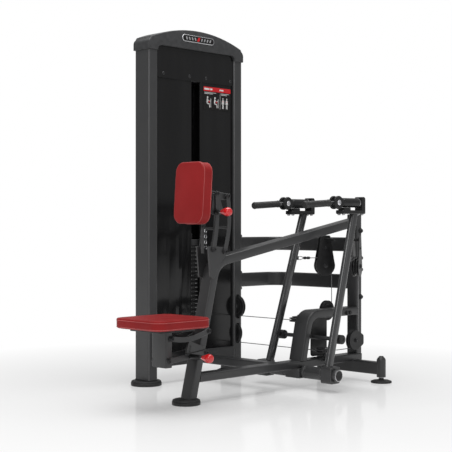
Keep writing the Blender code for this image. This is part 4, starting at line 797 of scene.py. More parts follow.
# ---------------------------------------------------------------- tubes and plates
def bend(before, corner, after, radius, steps=16):
    corner = Vector(corner)
    a, b = (Vector(before) - corner).normalized(), (Vector(after) - corner).normalized()
    half = a.angle(b) / 2
    centre = corner + (a + b).normalized() * radius / math.sin(half)
    start = corner + a * radius / math.tan(half) - centre
    end = corner + b * radius / math.tan(half) - centre
    sweep = start.angle(end)
    axis = start.cross(end).normalized()
    return [centre + Matrix.Rotation(sweep * n / steps, 3, axis) @ start for n in range(steps + 1)]


def swept(points, side, section, start_cut=None, end_cut=None):
    """A section of (distance along side, distance along the normal) swept along a flat path."""
    points, side = [Vector(p) for p in points], Vector(side)
    ways = [(b - a).normalized() for a, b in zip(points, points[1:])]
    bm = bmesh.new()
    rings = []
    for n, point in enumerate(points):
        before, after = ways[max(n - 1, 0)], ways[min(n, len(ways) - 1)]
        facing = (before + after).normalized()
        if n == 0 and start_cut:
            facing = Vector(start_cut).normalized()
        if n == len(points) - 1 and end_cut:
            facing = Vector(end_cut).normalized()
        lean = side.cross(facing).normalized()
        lean /= lean.dot(side.cross(after))
        rings.append([bm.verts.new(point + side * s + lean * t) for s, t in section])
    skin(bm, rings)
    return bm


def box_tube(points, side, wide, thick, corner=0.008, **cuts):
    return swept(points, side, rounded(-wide / 2, -thick / 2, wide / 2, thick / 2, corner, 5), **cuts)


def joined(*parts):
    """Several closed solids in one mesh."""
    bm = bmesh.new()
    for part in parts:
        mesh = bpy.data.meshes.new("part")
        part.to_mesh(mesh)
        part.free()
        bm.from_mesh(mesh)
        bpy.data.meshes.remove(mesh)
    return bm


def chamfered(outline, axis, low, high, edge=0.0012):
    """A flat plate whose two rims are broken by a small chamfer."""
    inner = inset_outline(outline, edge)
    rows = ((inner, low), (outline, low + edge), (outline, high - edge), (inner, high))
    return stacked(rows, PLACE[axis])


def inset_outline(outline, by):
    """The outline moved inwards, each corner along the mean of its two sides' normals."""
    area = sum(a[0] * b[1] - b[0] * a[1] for a, b in zip(outline, outline[1:] + outline[:1]))
    turn = 1 if area > 0 else -1
    out = []
    for n, spot in enumerate(outline):
        before, after = Vector(spot) - Vector(outline[n - 1]), Vector(
            outline[(n + 1) % len(outline)]
        ) - Vector(spot)
        before.normalize()
        after.normalize()
        one, two = Vector((-before.y, before.x)) * turn, Vector((-after.y, after.x)) * turn
        mean = (one + two).normalized()
        out.append(tuple(Vector(spot) + mean * by / max(mean.dot(one), 0.4)))
    return out


# Half sections of a washer and of the heads, as shares of the head's radius and height.
WASHER = ((0, 0), (1.35, 0), (1.35, 0.22), (1.28, 0.28), (0, 0.28))
HEADS = {
    "hex": ((0, 0.2), (1, 0.2), (1, 0.9), (0.86, 1), (0, 1)),
    "dome": ((0, 0.2), (1, 0.2), (0.98, 0.5), (0.8, 0.8), (0.45, 0.97), (0, 1)),
    "socket": ((0, 0.2), (1, 0.2), (1, 0.75), (0.82, 1), (0.5, 1), (0.44, 0.5), (0, 0.5)),
}


def bolt(centre, axis, radius, height, kind="hex"):
    """A washer under a bolt's head, standing up from centre along axis."""
    parts = []
    for shape, sides in ((WASHER, 24), (HEADS[kind], 6 if kind == "hex" else 24)):
        parts.append(turned([(radius * a, height * b) for a, b in shape], centre, axis, sides))
    return joined(*parts)


def bolts(name, spots, axis, radius, height, kind="hex", mat="bolt", body="frame"):
    piece(name, joined(*(bolt(spot, axis, radius, height, kind) for spot in spots)), mat, body)


# ---------------------------------------------------------------- tower
def cap_outline():
    left, right = TOWER_LEFT - CAP_OVERHANG, TOWER_RIGHT + CAP_OVERHANG
    middle, half, corner = (left + right) / 2, (right - left) / 2, 0.030
    rise, chord = CAP_PEAK - CAP_END, half - 0.010
    radius = (chord**2 + rise**2) / (2 * rise)
    sweep = math.degrees(math.asin(chord / radius)) * 0.96
    outline = arc(right - corner, CAP_END - 0.036, corner, 0, 58, 10)
    outline += arc(middle, CAP_PEAK - radius, radius, 90 - sweep, 90 + sweep, 40)
    outline += arc(left + corner, CAP_END - 0.036, corner, 122, 180, 10)
    outline += [(left, CAP_BOTTOM), (BAY_LEFT, CAP_BOTTOM)]
    outline += arc(BAY_LEFT + 0.028, OPENING_TOP - 0.028, 0.028, 180, 90, 8)
    outline += arc(BAY_RIGHT - 0.028, OPENING_TOP - 0.028, 0.028, 90, 0, 8)
    return outline + [(BAY_RIGHT, CAP_BOTTOM), (right, CAP_BOTTOM)]


def tower_cap():
    outline = cap_outline()
    low, high, edge = TOWER_FRONT - CAP_OVERHANG, TOWER_BACK + CAP_OVERHANG, 0.006
    bm = bmesh.new()
    rings = []
    for step in range(5):
        angle = math.pi / 2 * step / 4
        ring = inset_outline(outline, edge * (1 - math.sin(angle)) + 1e-6)
        rings.append((ring, low + edge * (1 - math.cos(angle))))
    rings += [(ring, low + high - y) for ring, y in reversed(rings)]
    skin(bm, [[bm.verts.new((a, y, b)) for a, b in ring] for ring, y in rings])
    piece("cap_shell", bm, "cap_plastic", "frame", replaces=["tower_cap"])
    x0, x1, z0, z1 = BADGE
    front, round_end = low - 0.0002, (z1 - z0) / 2 - 0.0005
    rim = chamfered(rounded(x0, z0, x1, z1, round_end, 10), "Y", front - 0.0040, front, 0.0010)
    piece("badge_rim", rim, "badge", "frame", replaces=["badge"])
    field = rounded(x0 + 0.0045, z0 + 0.0045, x1 - 0.0045, z1 - 0.0045, round_end - 0.0045, 10)
    piece("badge_field", chamfered(field, "Y", front - 0.0043, front - 0.0036, 0.0002), "placard", "frame")
    middle, tall = (x0 + x1) / 2, z1 - z0
    chevrons = []
    for s in (-1, 1):
        for n, start in enumerate((0.014, 0.038, 0.062, 0.086)):
            a = middle + s * (start + 0.012)
            shape = [
                (a - s * 0.007, z0 + tall * 0.30),
                (a + s * 0.004, z0 + tall * 0.30),
                (a + s * 0.010, z0 + tall * 0.70),
                (a - s * 0.001, z0 + tall * 0.70),
            ]
            chevrons.append(prism(shape, "Y", front - 0.0046, front - 0.0042))
    piece("badge_bars", joined(*chevrons), "badge", "frame")
    diamond = [
        (middle - 0.014, z0 + tall * 0.22),
        (middle + 0.004, z0 + tall * 0.22),
        (middle + 0.014, z0 + tall * 0.78),
        (middle - 0.004, z0 + tall * 0.78),
    ]
    piece("badge_mark", prism(diamond, "Y", front - 0.0047, front - 0.0042), "print_red", "frame")


def placard():
    """The instruction plate: a red heading and plain framed pictures, with no words and no likeness."""
    x0, x1, z0, z1 = PLACARD
    back = PANEL_Y - 0.0023
    plate = chamfered(rounded(x0, z0, x1, z1, 0.004, 4), "Y", back, PANEL_Y - 0.0004, 0.0004)
    piece("placard_plate", plate, "placard", "frame", replaces=["placard"])
    print_y = (back - 0.0004, back + 0.0002)
    heading = prism(rounded(x0 + 0.001, z1 - 0.029, x1 - 0.001, z1 - 0.001, 0.003, 4), "Y", *print_y)
    piece("placard_heading", heading, "print_red", "frame")
    top_y = (back - 0.0007, back)
    blocks = []
    for a, b, c in ((0.008, 0.052, 0.011), (0.058, 0.078, 0.011), (0.140, 0.176, 0.009)):
        blocks.append(
            prism(rounded(x0 + a, z1 - 0.015 - c / 2, x0 + b, z1 - 0.015 + c / 2, 0.002, 3), "Y", *top_y)
        )
    for a, b, z in (
        (0.008, 0.110, 0.037), (0.008, 0.082, 0.044), (0.156, 0.226, 0.037), (0.156, 0.204, 0.044)
    ):
        blocks.append(
            prism(
                [
                    (x0 + a, z1 - z - 0.0014),
                    (x0 + b, z1 - z - 0.0014),
                    (x0 + b, z1 - z + 0.0014),
                    (x0 + a, z1 - z + 0.0014),
                ],
                "Y",
                *top_y,
            )
        )
    rule = x0 + 0.146
    blocks.append(
        prism(
            [
                (rule, z0 + 0.010),
                (rule + 0.0015, z0 + 0.010),
                (rule + 0.0015, z1 - 0.034),
                (rule, z1 - 0.034),
            ],
            "Y",
            *top_y,
        )
    )
    marks = []
    for centre, scale in ((0.040, 1.0), (0.105, 1.0)):
        blocks += exerciser(x0 + centre, z0 + 0.048, scale, top_y)
        marks.append(
            prism(arc(x0 + centre + 0.010, z0 + 0.052, 0.0055, 0, 360, 10)[:-1], "Y", back - 0.0009, back)
        )
    for centre in (0.172, 0.206):
        blocks += standing(x0 + centre, z0 + 0.046, top_y)
        marks.append(prism(arc(x0 + centre, z0 + 0.060, 0.0035, 0, 360, 10)[:-1], "Y", back - 0.0009, back))
    piece("placard_print", joined(*blocks), "print_white", "frame")
    piece("placard_muscles", joined(*marks), "print_red", "frame")


def stroke(a, b, half, deep):
    """A bar with round ends, as a stroke of a pictogram."""
    turn = math.degrees(math.atan2(b[1] - a[1], b[0] - a[0]))
    outline = arc(*b, half, turn - 90, turn + 90, 4) + arc(*a, half, turn + 90, turn + 270, 4)
    return prism(outline, "Y", *deep)


def exerciser(x, z, k, deep):
    """A stick figure sitting and pulling."""
    head = prism(arc(x - 0.004 * k, z + 0.030 * k, 0.0058 * k, 0, 360, 12)[:-1], "Y", *deep)
    limbs = (
        ((-0.006, 0.020), (-0.008, -0.006), 0.0042),
        ((-0.008, -0.008), (0.012, -0.010), 0.0032),
        ((0.012, -0.010), (0.014, -0.030), 0.0028),
        ((-0.004, 0.018), (0.006, 0.006), 0.0024),
        ((0.006, 0.006), (0.018, 0.010), 0.0022),
        ((0.024, -0.030), (0.024, 0.022), 0.0016),
    )
    return [head] + [
        stroke((x + a[0] * k, z + a[1] * k), (x + b[0] * k, z + b[1] * k), h * k, deep) for a, b, h in limbs
    ]


def standing(x, z, deep):
    """A stick figure standing, for the muscle chart."""
    head = prism(arc(x, z + 0.032, 0.0046, 0, 360, 12)[:-1], "Y", *deep)
    limbs = (
        ((0.0, 0.022), (0.0, -0.004), 0.0046),
        ((-0.003, -0.006), (-0.004, -0.030), 0.0024),
        ((0.003, -0.006), (0.004, -0.030), 0.0024),
        ((-0.006, 0.020), (-0.009, -0.002), 0.0018),
        ((0.006, 0.020), (0.009, -0.002), 0.0018),
    )
    return [head] + [stroke((x + a[0], z + a[1]), (x + b[0], z + b[1]), h, deep) for a, b, h in limbs]


def tower_hardware():
    front = PANEL_Y - 0.0085
    bolts = [bolt((x, front, 1.876), (0, -1, 0), 0.0085, 0.005, "dome") for x in (0.409, 0.625, 0.765, 0.980)]
    bolts += [
        bolt((x, TOWER_BACK - 0.004, z), (0, 1, 0), 0.007, 0.003, "dome")
        for x in (0.375, 0.984)
        for z in (0.25, 0.80, 1.35, 1.95)
    ]
    piece("panel_screws", joined(*bolts), "bolt", "frame")
    for name, x, y, radius in (
        ("tower_foot_left", TOWER_LEFT + POST_X / 2, TOWER_FRONT + POST_Y / 2, 0.0925),
        ("tower_foot_right", TOWER_RIGHT - POST_X / 2, TOWER_FRONT + POST_Y / 2, 0.0925),
        ("front_foot", 0.0, 0.0, 0.077),
    ):
        profile = [(0, 0), (radius - 0.003, 0), (radius, 0.003), (radius, 0.0165), (radius - 0.0015, 0.018)]
        profile += [(radius - 0.0035, 0.0185), (radius - 0.0035, 0.0200), (radius - 0.002, 0.0210)]
        profile += [(radius - 0.0045, 0.0270), (radius - 0.010, FOOT_TOP - 0.0005), (0, FOOT_TOP)]
        piece(f"{name}_pad", turned(profile, (x, y, 0), (0, 0, 1), 64), "rubber", "frame", replaces=[name])
    for side, x in (("left", TOWER_LEFT + POST_X / 2), ("right", TOWER_RIGHT - POST_X / 2)):
        half_x, half_y, y = POST_X / 2 + 0.0025, POST_Y / 2 + 0.0025, TOWER_FRONT + POST_Y / 2
        collar = chamfered(
            rounded(x - half_x, y - half_y, x + half_x, y + half_y, 0.012, 5),
            "Z",
            FOOT_TOP + 0.0002,
            FOOT_TOP + 0.007,
            0.002,
        )
        piece(f"post_collar_{side}", collar, "rubber", "frame")


# ---------------------------------------------------------------- more shapes
def rod(start, end, radius, segments=24, edge=0.0008):
    start, end = Vector(start), Vector(end)
    long = (end - start).length
    edge = min(edge, long / 3, radius / 3)
    profile = [
        (0, 0), (radius - edge, 0), (radius, edge), (radius, long - edge), (radius - edge, long), (0, long)
    ]
    return turned(profile, start, end - start, segments)


def filleted(outline, radius, steps=5):
    """The outline with every corner rounded off."""
    out = []
    for n, spot in enumerate(outline):
        spot = Vector(spot)
        before, after = Vector(outline[n - 1]) - spot, Vector(outline[(n + 1) % len(outline)]) - spot
        half = before.angle(after) / 2
        back = min(radius / math.tan(half), before.length * 0.45, after.length * 0.45)
        start, end = spot + before.normalized() * back, spot + after.normalized() * back
        for k in range(steps + 1):
            t = k / steps
            out.append(tuple(start * (1 - t) ** 2 + spot * 2 * t * (1 - t) + end * t**2))
    return out


def capsule(a, b, radius, steps=12):
    turn = math.degrees(math.atan2(b[1] - a[1], b[0] - a[0]))
    return arc(*b, radius, turn - 90, turn + 90, steps) + arc(*a, radius, turn + 90, turn + 270, steps)


def bowed_bar(a, b, half, bow, steps=18):
    """A flat bar's outline, whose middle lies off the line from a to b by bow, to its right."""
    start, end = Vector(a), Vector(b)
    along = (end - start).normalized()
    side = Vector((along.y, -along.x))
    middle = [
        start.lerp(end, n / steps) + side * bow * math.sin(math.pi * n / steps) for n in range(steps + 1)
    ]
    turn = math.degrees(math.atan2(along.y, along.x))
    lean = math.degrees(math.atan(bow * math.pi / (end - start).length))
    right = [tuple(p + side * half) for p in middle[1:-1]]
    left = [tuple(p - side * half) for p in reversed(middle[1:-1])]
    top = arc(*b, half, turn - 90 + lean, turn + 90 + lean, 12)
    foot = arc(*a, half, turn + 90 - lean, turn + 270 - lean, 12)
    return right + top + left + foot


def block(x0, x1, y0, y1, z0, z1, edge=0.0015):
    """A box whose twelve edges are broken: rounded upright ones and chamfered rims."""
    corner = min(edge * 1.5, (x1 - x0) / 3, (y1 - y0) / 3)
    return chamfered(rounded(x0, y0, x1, y1, corner, 3), "Z", z0, z1, min(edge, (z1 - z0) / 3))


def both_sides(outline, low, high, edge=0.0012):
    """The same upright plate on the near and the far side of the machine's middle."""
    return [chamfered(outline, "Y", -high, -low, edge), chamfered(outline, "Y", low, high, edge)]


def stub_pins(spots, near, far, radius=PIN_BOLT_R):
    """Short pins on both sides, at each (x, z)."""
    return [rod((x, s * near, z), (x, s * far, z), radius) for x, z in spots for s in (-1, 1)]


def hole_shade_disc(x, y, z):
    """A dark disc on a plate's near face: painted shade standing in for the shaded inside of an index hole.
    """
    return turned([(0, 0), (0.0058, 0), (0.0058, 0.0004), (0, 0.0004)], (x, y, z), (0, -1, 0), 20)


def pivot_bolts(name, spots, reach, body, radius=0.0105):
    heads = []
    for x, z in spots:
        for s in (-1, 1):
            heads.append(bolt((x, s * reach, z), (0, s, 0), radius, 0.0085, "hex" if s > 0 else "socket"))
    piece(name, joined(*heads), "bolt", body)


# ---------------------------------------------------------------- frame tubes
def post_middle(z):
    return POST_FOOT_X + POST_LEAN * z


def main_tube():
    foot = Vector((post_middle(FOOT_TOP), 0, FOOT_TOP + GAP))
    corner_z = (BEAM_AT[1] + BEAM_SLOPE * (POST_FOOT_X - BEAM_AT[0])) / (1 - BEAM_SLOPE * POST_LEAN)
    corner = Vector((post_middle(corner_z), 0, corner_z))
    end_x = UPRIGHT_X - GAP
    end = Vector((end_x, 0, BEAM_AT[1] + BEAM_SLOPE * (end_x - BEAM_AT[0])))
    path = [foot, *bend(foot, corner, end, MAIN_BEND, 20), end]
    tube = box_tube(path, (0, 1, 0), TUBE_W, TUBE_T, 0.008, start_cut=(0, 0, 1), end_cut=(1, 0, 0))
    piece("main_tube_body", tube, "frame", "frame", replaces=["main_tube"])
    outline = [(0.115, 0.846), (0.265, 0.838), (0.265, 0.800), (0.215, 0.760), (0.162, 0.668), (0.132, 0.680)]
    outline = filleted(outline, 0.010)
    plates = both_sides(outline, TUBE_W / 2 - 0.001, GUSSET_OUT, 0.0015)
    piece("chest_gussets", joined(*plates), "frame", "frame")
    bar = block(0.119, 0.144, -0.011, 0.011, 0.806, INDEX_TOP)
    piece("index_bar", joined(bar, block(0.127, 0.155, -0.009, 0.009, 0.814, 0.840)), "frame", "frame")
    bushings = []
    for n in range(4):
        z = 0.836 + 0.031 * n
        ring = [
            (0.0050, 0.0), (0.0094, 0.0), (0.0100, 0.0006), (0.0100, 0.0022), (0.0086, 0.0026),
            (0.0050, 0.0026),
        ]
        for s in (-1, 1):
            bushings.append(turned(ring, (0.1315, s * 0.0108, z), (0, s, 0), 24))
    piece("index_bushings", joined(*bushings), "chrome", "frame")
    sx, sz = SEAT_LOWER_PIN
    sector = [(sx, sz - 0.012)] + arc(sx, sz, SEAT_PLUNGER_AT + 0.020, 192, 148, 20) + [(sx, sz + 0.030)]
    piece("seat_sector", chamfered(sector, "Y", -0.0525, -TUBE_W / 2 + 0.001, 0.0012), "frame", "frame")
    slope = math.degrees(math.atan2(SEAT_LINK[1], SEAT_LINK[0])) % 360
    # The sector's index holes are dark discs of painted shade.
    holes = []
    for n in range(5):
        hx, hz = arc(sx, sz, SEAT_PLUNGER_AT, slope - 6.5 * n, slope - 6.5 * n + 1, 1)[0]
        holes.append(hole_shade_disc(hx, -0.0525, hz))
    piece("seat_sector_holes", joined(*holes), "rubber", "frame")
    rods = [rod((x, -0.0585, z), (x, 0.0585, z), PIN_BOLT_R) for x, z in (CHEST_FRONT_PIN, CHEST_REAR_PIN)]
    rods += [rod((x, -0.0625, z), (x, 0.0625, z), PIN_BOLT_R) for x, z in (SEAT_UPPER_PIN, SEAT_LOWER_PIN)]
    rods += stub_pins((SEAT_UPPER_PIN, SEAT_LOWER_PIN), TUBE_W / 2, 0.0545, 0.014)
    piece("link_shafts", joined(*rods), "zinc", "frame")
    pivot_bolts("chest_link_bolts", (CHEST_FRONT_PIN, CHEST_REAR_PIN), 0.0565, "frame")
    pivot_bolts("seat_link_bolts", (SEAT_UPPER_PIN, SEAT_LOWER_PIN), 0.0620, "frame", 0.0115)


def rear_upright():
    x = UPRIGHT_X + TUBE_T / 2
    path = [(x, 0, LOW_BEAM_HIGH + GAP), (x, 0, UPRIGHT_TOP - 0.004)]
    tube = box_tube(path, (1, 0, 0), TUBE_T, TUBE_W, 0.008)
    piece("rear_upright_body", tube, "frame", "frame", replaces=["rear_upright"])
    half_x, half_y = TUBE_T / 2 - 0.0005, TUBE_W / 2 - 0.0005
    cap = chamfered(
        rounded(x - half_x, -half_y, x + half_x, half_y, 0.008, 5),
        "Z",
        UPRIGHT_TOP - 0.004,
        UPRIGHT_TOP,
        0.0018,
    )
    piece("rear_upright_plug", cap, "rubber", "frame")
    nuts = [(UPRIGHT_X + 0.036, -TUBE_W / 2 + 0.0003, z) for z in (0.924, 0.754, 0.682, 0.511)]
    bolts("rear_upright_nuts", nuts, (0, -1, 0), 0.0125, 0.0175, "dome")
    cy, cz = DOWN_Y["right"], RUN_Z["right"] + PULLEY_CABLE_R
    cx = DOWN_X - PULLEY_CABLE_R
    near = cy - PULLEY_HALF - 0.004
    outline = arc(cx, cz, 0.0600, 62, 298, 40)
    outline += arc(1.356, 0.240, 0.018, -62, 0, 8) + arc(1.356, 0.274, 0.018, 0, 62, 8)
    piece("low_pulley_plate", chamfered(outline, "Y", near - 0.005, near, 0.0015), "gloss_black", "frame")
    arm = [
        block(1.3615, 1.3735, near - 0.0005, -0.030, 0.232, 0.288),
        block(1.3615, UPRIGHT_X + 0.001, -0.038, -0.030, 0.232, 0.288),
    ]
    piece("low_pulley_arm", joined(*arm), "frame", "frame")
    shaft = rod((cx, near - 0.004, cz), (cx, cy + 0.014, cz), AXLE_R - 0.0006)
    piece(
        "low_pulley_axle",
        joined(shaft, bolt((cx, near - 0.0048, cz), (0, -1, 0), 0.011, 0.009)),
        "bolt",
        "frame",
    )


def curved_beams():
    for name, low in (("curved_beam_lower", 0.560), ("curved_beam_upper", 0.794)):
        z = low + CURVED_TALL / 2
        x = UPRIGHT_X + TUBE_T / 2
        start, corner, end = (TOWER_RIGHT + GAP, CURVED_Y, z), (x, CURVED_Y, z), (x, TUBE_W / 2 + GAP, z)
        path = [start, *bend(start, corner, end, CURVED_BEND, 20), end]
        piece(
            f"{name}_body",
            box_tube(path, (0, 0, 1), CURVED_TALL, TUBE_T, 0.009),
            "frame",
            "frame",
            replaces=[name],
        )
        plate = chamfered(
            rounded(CURVED_Y - 0.042, z - 0.058, CURVED_Y + 0.042, z + 0.058, 0.010, 5),
            "X",
            TOWER_RIGHT + GAP,
            TOWER_RIGHT + 0.0063,
            0.0015,
        )
        piece(f"{name}_flange", plate, "frame", "frame")
        spots = [
            (TOWER_RIGHT + 0.0062, CURVED_Y + a, z + b) for a in (-0.034, 0.034) for b in (-0.051, 0.051)
        ]
        bolts(f"{name}_bolts", spots, (1, 0, 0), 0.0075, 0.007)


def arch():
    top = ARCH_TOP - ARCH_T / 2
    foot_z = LOW_BEAM_HIGH + GAP
    foot_x = ARCH_FOOT_X + ARCH_T / 2
    corner = (foot_x + ARCH_LEAN * (top - foot_z), 0, top)
    foot, end = (foot_x, 0, foot_z), (UPRIGHT_X - GAP, 0, top)
    path = [foot, *bend(foot, corner, end, ARCH_BEND, 20), end]
    tube = box_tube(path, (0, 1, 0), 2 * ARCH_HALF, ARCH_T, 0.009, start_cut=(0, 0, 1))
    piece("arch_tube_body", tube, "frame", "frame", replaces=["arch_tube"])
    bar = rod((STOP_X, -STOP_HALF, BUMPER_Z), (STOP_X, STOP_HALF, BUMPER_Z), 0.012, 32)
    arm = block(0.925, STOP_X, -0.020, 0.020, BUMPER_Z - 0.006, BUMPER_Z + 0.006)
    piece("stop_bar", joined(bar, arm), "frame", "frame")
    outline = rounded(1.075, foot_z + 0.001, 1.225, top - 0.005, 0.020, 8)
    piece(
        "arch_plate",
        chamfered(outline, "Y", ARCH_HALF - 0.008, ARCH_HALF - 0.001, 0.0012),
        "gloss_black",
        "frame",
    )
    bx, by, bz = CORNER_X, DOWN_Y["left"] + PULLEY_CABLE_R, RUN_Z["left"]
    shelf = block(bx - 0.030, bx + 0.030, ARCH_HALF - 0.006, by + 0.030, bz + 0.014, bz + 0.020)
    stud = rod((bx, by, bz - 0.014), (bx, by, bz + 0.016), AXLE_R - 0.0006)
    ax, az = DOWN_X - PULLEY_CABLE_R, RUN_Z["left"] + PULLEY_CABLE_R
    axle = rod((ax, ARCH_HALF - 0.006, az), (ax, DOWN_Y["left"] + 0.015, az), AXLE_R - 0.0006)
    piece("arch_pulley_mounts", joined(shelf, stud, axle), "bolt", "frame")
    heads = [bolt((x, -ARCH_HALF, 0.420), (0, -1, 0), 0.0105, 0.010) for x in (1.298, 1.330)]
    heads += [bolt((x, ARCH_HALF, 0.426), (0, 1, 0), 0.0095, 0.009) for x in (1.298, 1.345)]
    heads.append(bolt((bx, by, bz + 0.020), (0, 0, 1), 0.0105, 0.009))
    heads.append(bolt((bx, by, bz - 0.0115), (0, 0, -1), 0.0095, 0.006))
    heads.append(bolt((ax, DOWN_Y["left"] + 0.012, az), (0, 1, 0), 0.0105, 0.008))
    piece("arch_bolts", joined(*heads), "bolt", "frame")
    for side, s in reversed(SIDES):
        near, far = STOP_HALF + GAP, STOP_HALF + 0.052
        ring = [(0, near), (0.021, near), (BUMPER_R - 0.001, near + 0.003), (BUMPER_R, near + 0.007)]
        for k in range(3):
            at = near + 0.014 + 0.011 * k
            ring += [(BUMPER_R, at - 0.0022), (BUMPER_R - 0.0014, at), (BUMPER_R, at + 0.0022)]
        ring += [
            (BUMPER_R, far - 0.007), (BUMPER_R - 0.001, far - 0.003), (0.021, far), (0.009, far),
            (0.008, far - 0.003), (0, far - 0.003),
        ]
        piece(
            f"bumper_{side}_ring",
            turned(ring, (STOP_X, 0, BUMPER_Z), (0, s, 0), 40),
            "rubber",
            "frame",
            replaces=[f"bumper_{side}"],
        )


def base_details():
    """Levelling feet with their locknuts, plugs in the beam's end, and bolts at the joints."""
    for side, s in reversed(SIDES):
        centre = (CROSS_X, s * CROSS_HALF, 0)
        foot = [
            (0, 0), (0.0615, 0), (0.0635, 0.002), (0.0635, 0.008), (0.0620, 0.0105), (0.050, 0.015),
            (0.030, 0.0180), (0.018, 0.0195), (0.016, 0.022), (0.016, 0.028), (0, 0.028),
        ]
        piece(
            f"levelling_pad_{side}",
            turned(foot, centre, (0, 0, 1), 56),
            "rubber",
            "frame",
            replaces=[f"levelling_foot_{side}"],
        )
        nut = turned(
            [(0, 0.0285), (0.0135, 0.0285), (0.0135, 0.0330), (0.012, 0.0335), (0, 0.0335)],
            centre,
            (0, 0, 1),
            6,
        )
        stud = rod((CROSS_X, s * CROSS_HALF, 0.027), (CROSS_X, s * CROSS_HALF, 0.060), 0.0078)
        piece(f"levelling_stud_{side}", joined(nut, stud), "zinc", "frame")
        cap = [
            (0, 0.1585), (0.0105, 0.1585), (0.0150, 0.1565), (0.0155, 0.1580), (0.0110, 0.1612), (0, 0.1622)
        ]
        piece(f"cross_beam_cap_{side}", turned(cap, centre, (0, 0, 1), 40), "rubber", "frame")
    x = UPRIGHT_X + TUBE_T
    plug = chamfered(
        rounded(-TUBE_W / 2 + 0.001, 0.116, TUBE_W / 2 - 0.001, LOW_BEAM_HIGH - 0.001, 0.007, 5),
        "X",
        x - 0.001,
        x + 0.003,
        0.0012,
    )
    piece("base_beam_plug", plug, "rubber", "frame")
    for side, s in reversed(SIDES):
        spots = [(PIVOT_X + a, s * 0.0540, z) for a in (-0.030, 0.030) for z in (0.074, 0.104)]
        bolts(f"pivot_block_bolts_{side}", spots, (0, s, 0), 0.0075, 0.0065)


# ---------------------------------------------------------------- levers and handles
def lever_at(s, share):
    """The lever's middle line, at a share of the way from its pivot to its top."""
    x = PIVOT_X + (LEVER_TOP[0] - PIVOT_X) * share
    y = LEVER_LOW_Y + (LEVER_TOP_Y - LEVER_LOW_Y) * share
    return Vector((x, s * y, PIVOT_Z + (LEVER_TOP[1] - PIVOT_Z) * share))


def lug_root(s):
    return lever_at(s, (LUG.z - PIVOT_Z) / (LEVER_TOP[1] - PIVOT_Z))


def link_start(s):
    """Where the snap link hangs in the lever's lug."""
    return Vector((LUG.x - 0.010, lug_root(s).y, LUG.z))


def lever(side, s):
    body = f"lever_{side}"
    pivot, out = (PIVOT_X, 0, PIVOT_Z), (0, s, 0)
    near, far = SLEEVE_IN, LEVER_END
    sleeve = [(0, near), (SLEEVE_R - 0.002, near), (SLEEVE_R, near + 0.002), (SLEEVE_R, near + 0.016)]
    sleeve += [(SLEEVE_R - 0.003, near + 0.0185), (SLEEVE_R - 0.003, near + 0.030), (SLEEVE_R, near + 0.0325)]
    sleeve += [
        (SLEEVE_R, CLAMP_IN - 0.016),
        (SLEEVE_R - 0.002, CLAMP_IN - 0.014),
        (SLEEVE_R - 0.002, CLAMP_IN - 0.004),
    ]
    sleeve += [(SLEEVE_R, CLAMP_IN), (SLEEVE_R, CLAMP_OUT + 0.002)]
    sleeve += [
        (SLEEVE_R, far - 0.012),
        (SLEEVE_R - 0.002, far - 0.010),
        (SLEEVE_R - 0.002, far - 0.008),
        (0, far - 0.008),
    ]
    piece(f"{body}_sleeve", turned(sleeve, pivot, out, 48), "frame", body, replaces=[body])
    rim = [
        (0.029, far - 0.009), (0.033, far - 0.009), (0.0334, far - 0.0078), (0.0330, far - 0.004),
        (0.0315, far - 0.003), (0.029, far - 0.003),
    ]
    piece(f"{body}_end_ring", turned(rim, pivot, out, 48), "zinc", body)
    cap = [
        (0, far - 0.009), (0.0292, far - 0.009), (0.0292, far - 0.0030), (0.0265, far - 0.0008),
        (0.012, far), (0.0105, far - 0.0015), (0, far - 0.0015),
    ]
    piece(f"{body}_end_cap", turned(cap, pivot, out, 40), "rubber", body)
    outline = rounded(PIVOT_X - 0.043, PIVOT_Z - 0.048, PIVOT_X + 0.043, PIVOT_Z + 0.048, 0.014, 8)
    clamp = chamfered(outline, "Y", *sorted((s * CLAMP_IN, s * CLAMP_OUT)), 0.003)
    piece(f"{body}_clamp", clamp, "frame", body)
    low, high = lever_at(s, 0.03), lever_at(s, 1.0)
    along = (high - low).normalized()
    deep = Vector((0, 1, 0)).cross(along).normalized()
    wide = along.cross(deep)
    half = LEVER_WIDE / 2
    flat = capsule((-LEVER_DEEP / 2 + half, 0), (LEVER_DEEP / 2 - half, 0), half, 12)
    bm = bmesh.new()
    rings = [[bm.verts.new(low.lerp(high, n / 12) + deep * a + wide * b) for a, b in flat] for n in range(13)]
    skin(bm, rings)
    piece(f"{body}_tube", bm, "lever", body)
    lever_bracket(side, s)
    lever_lug(side, s)


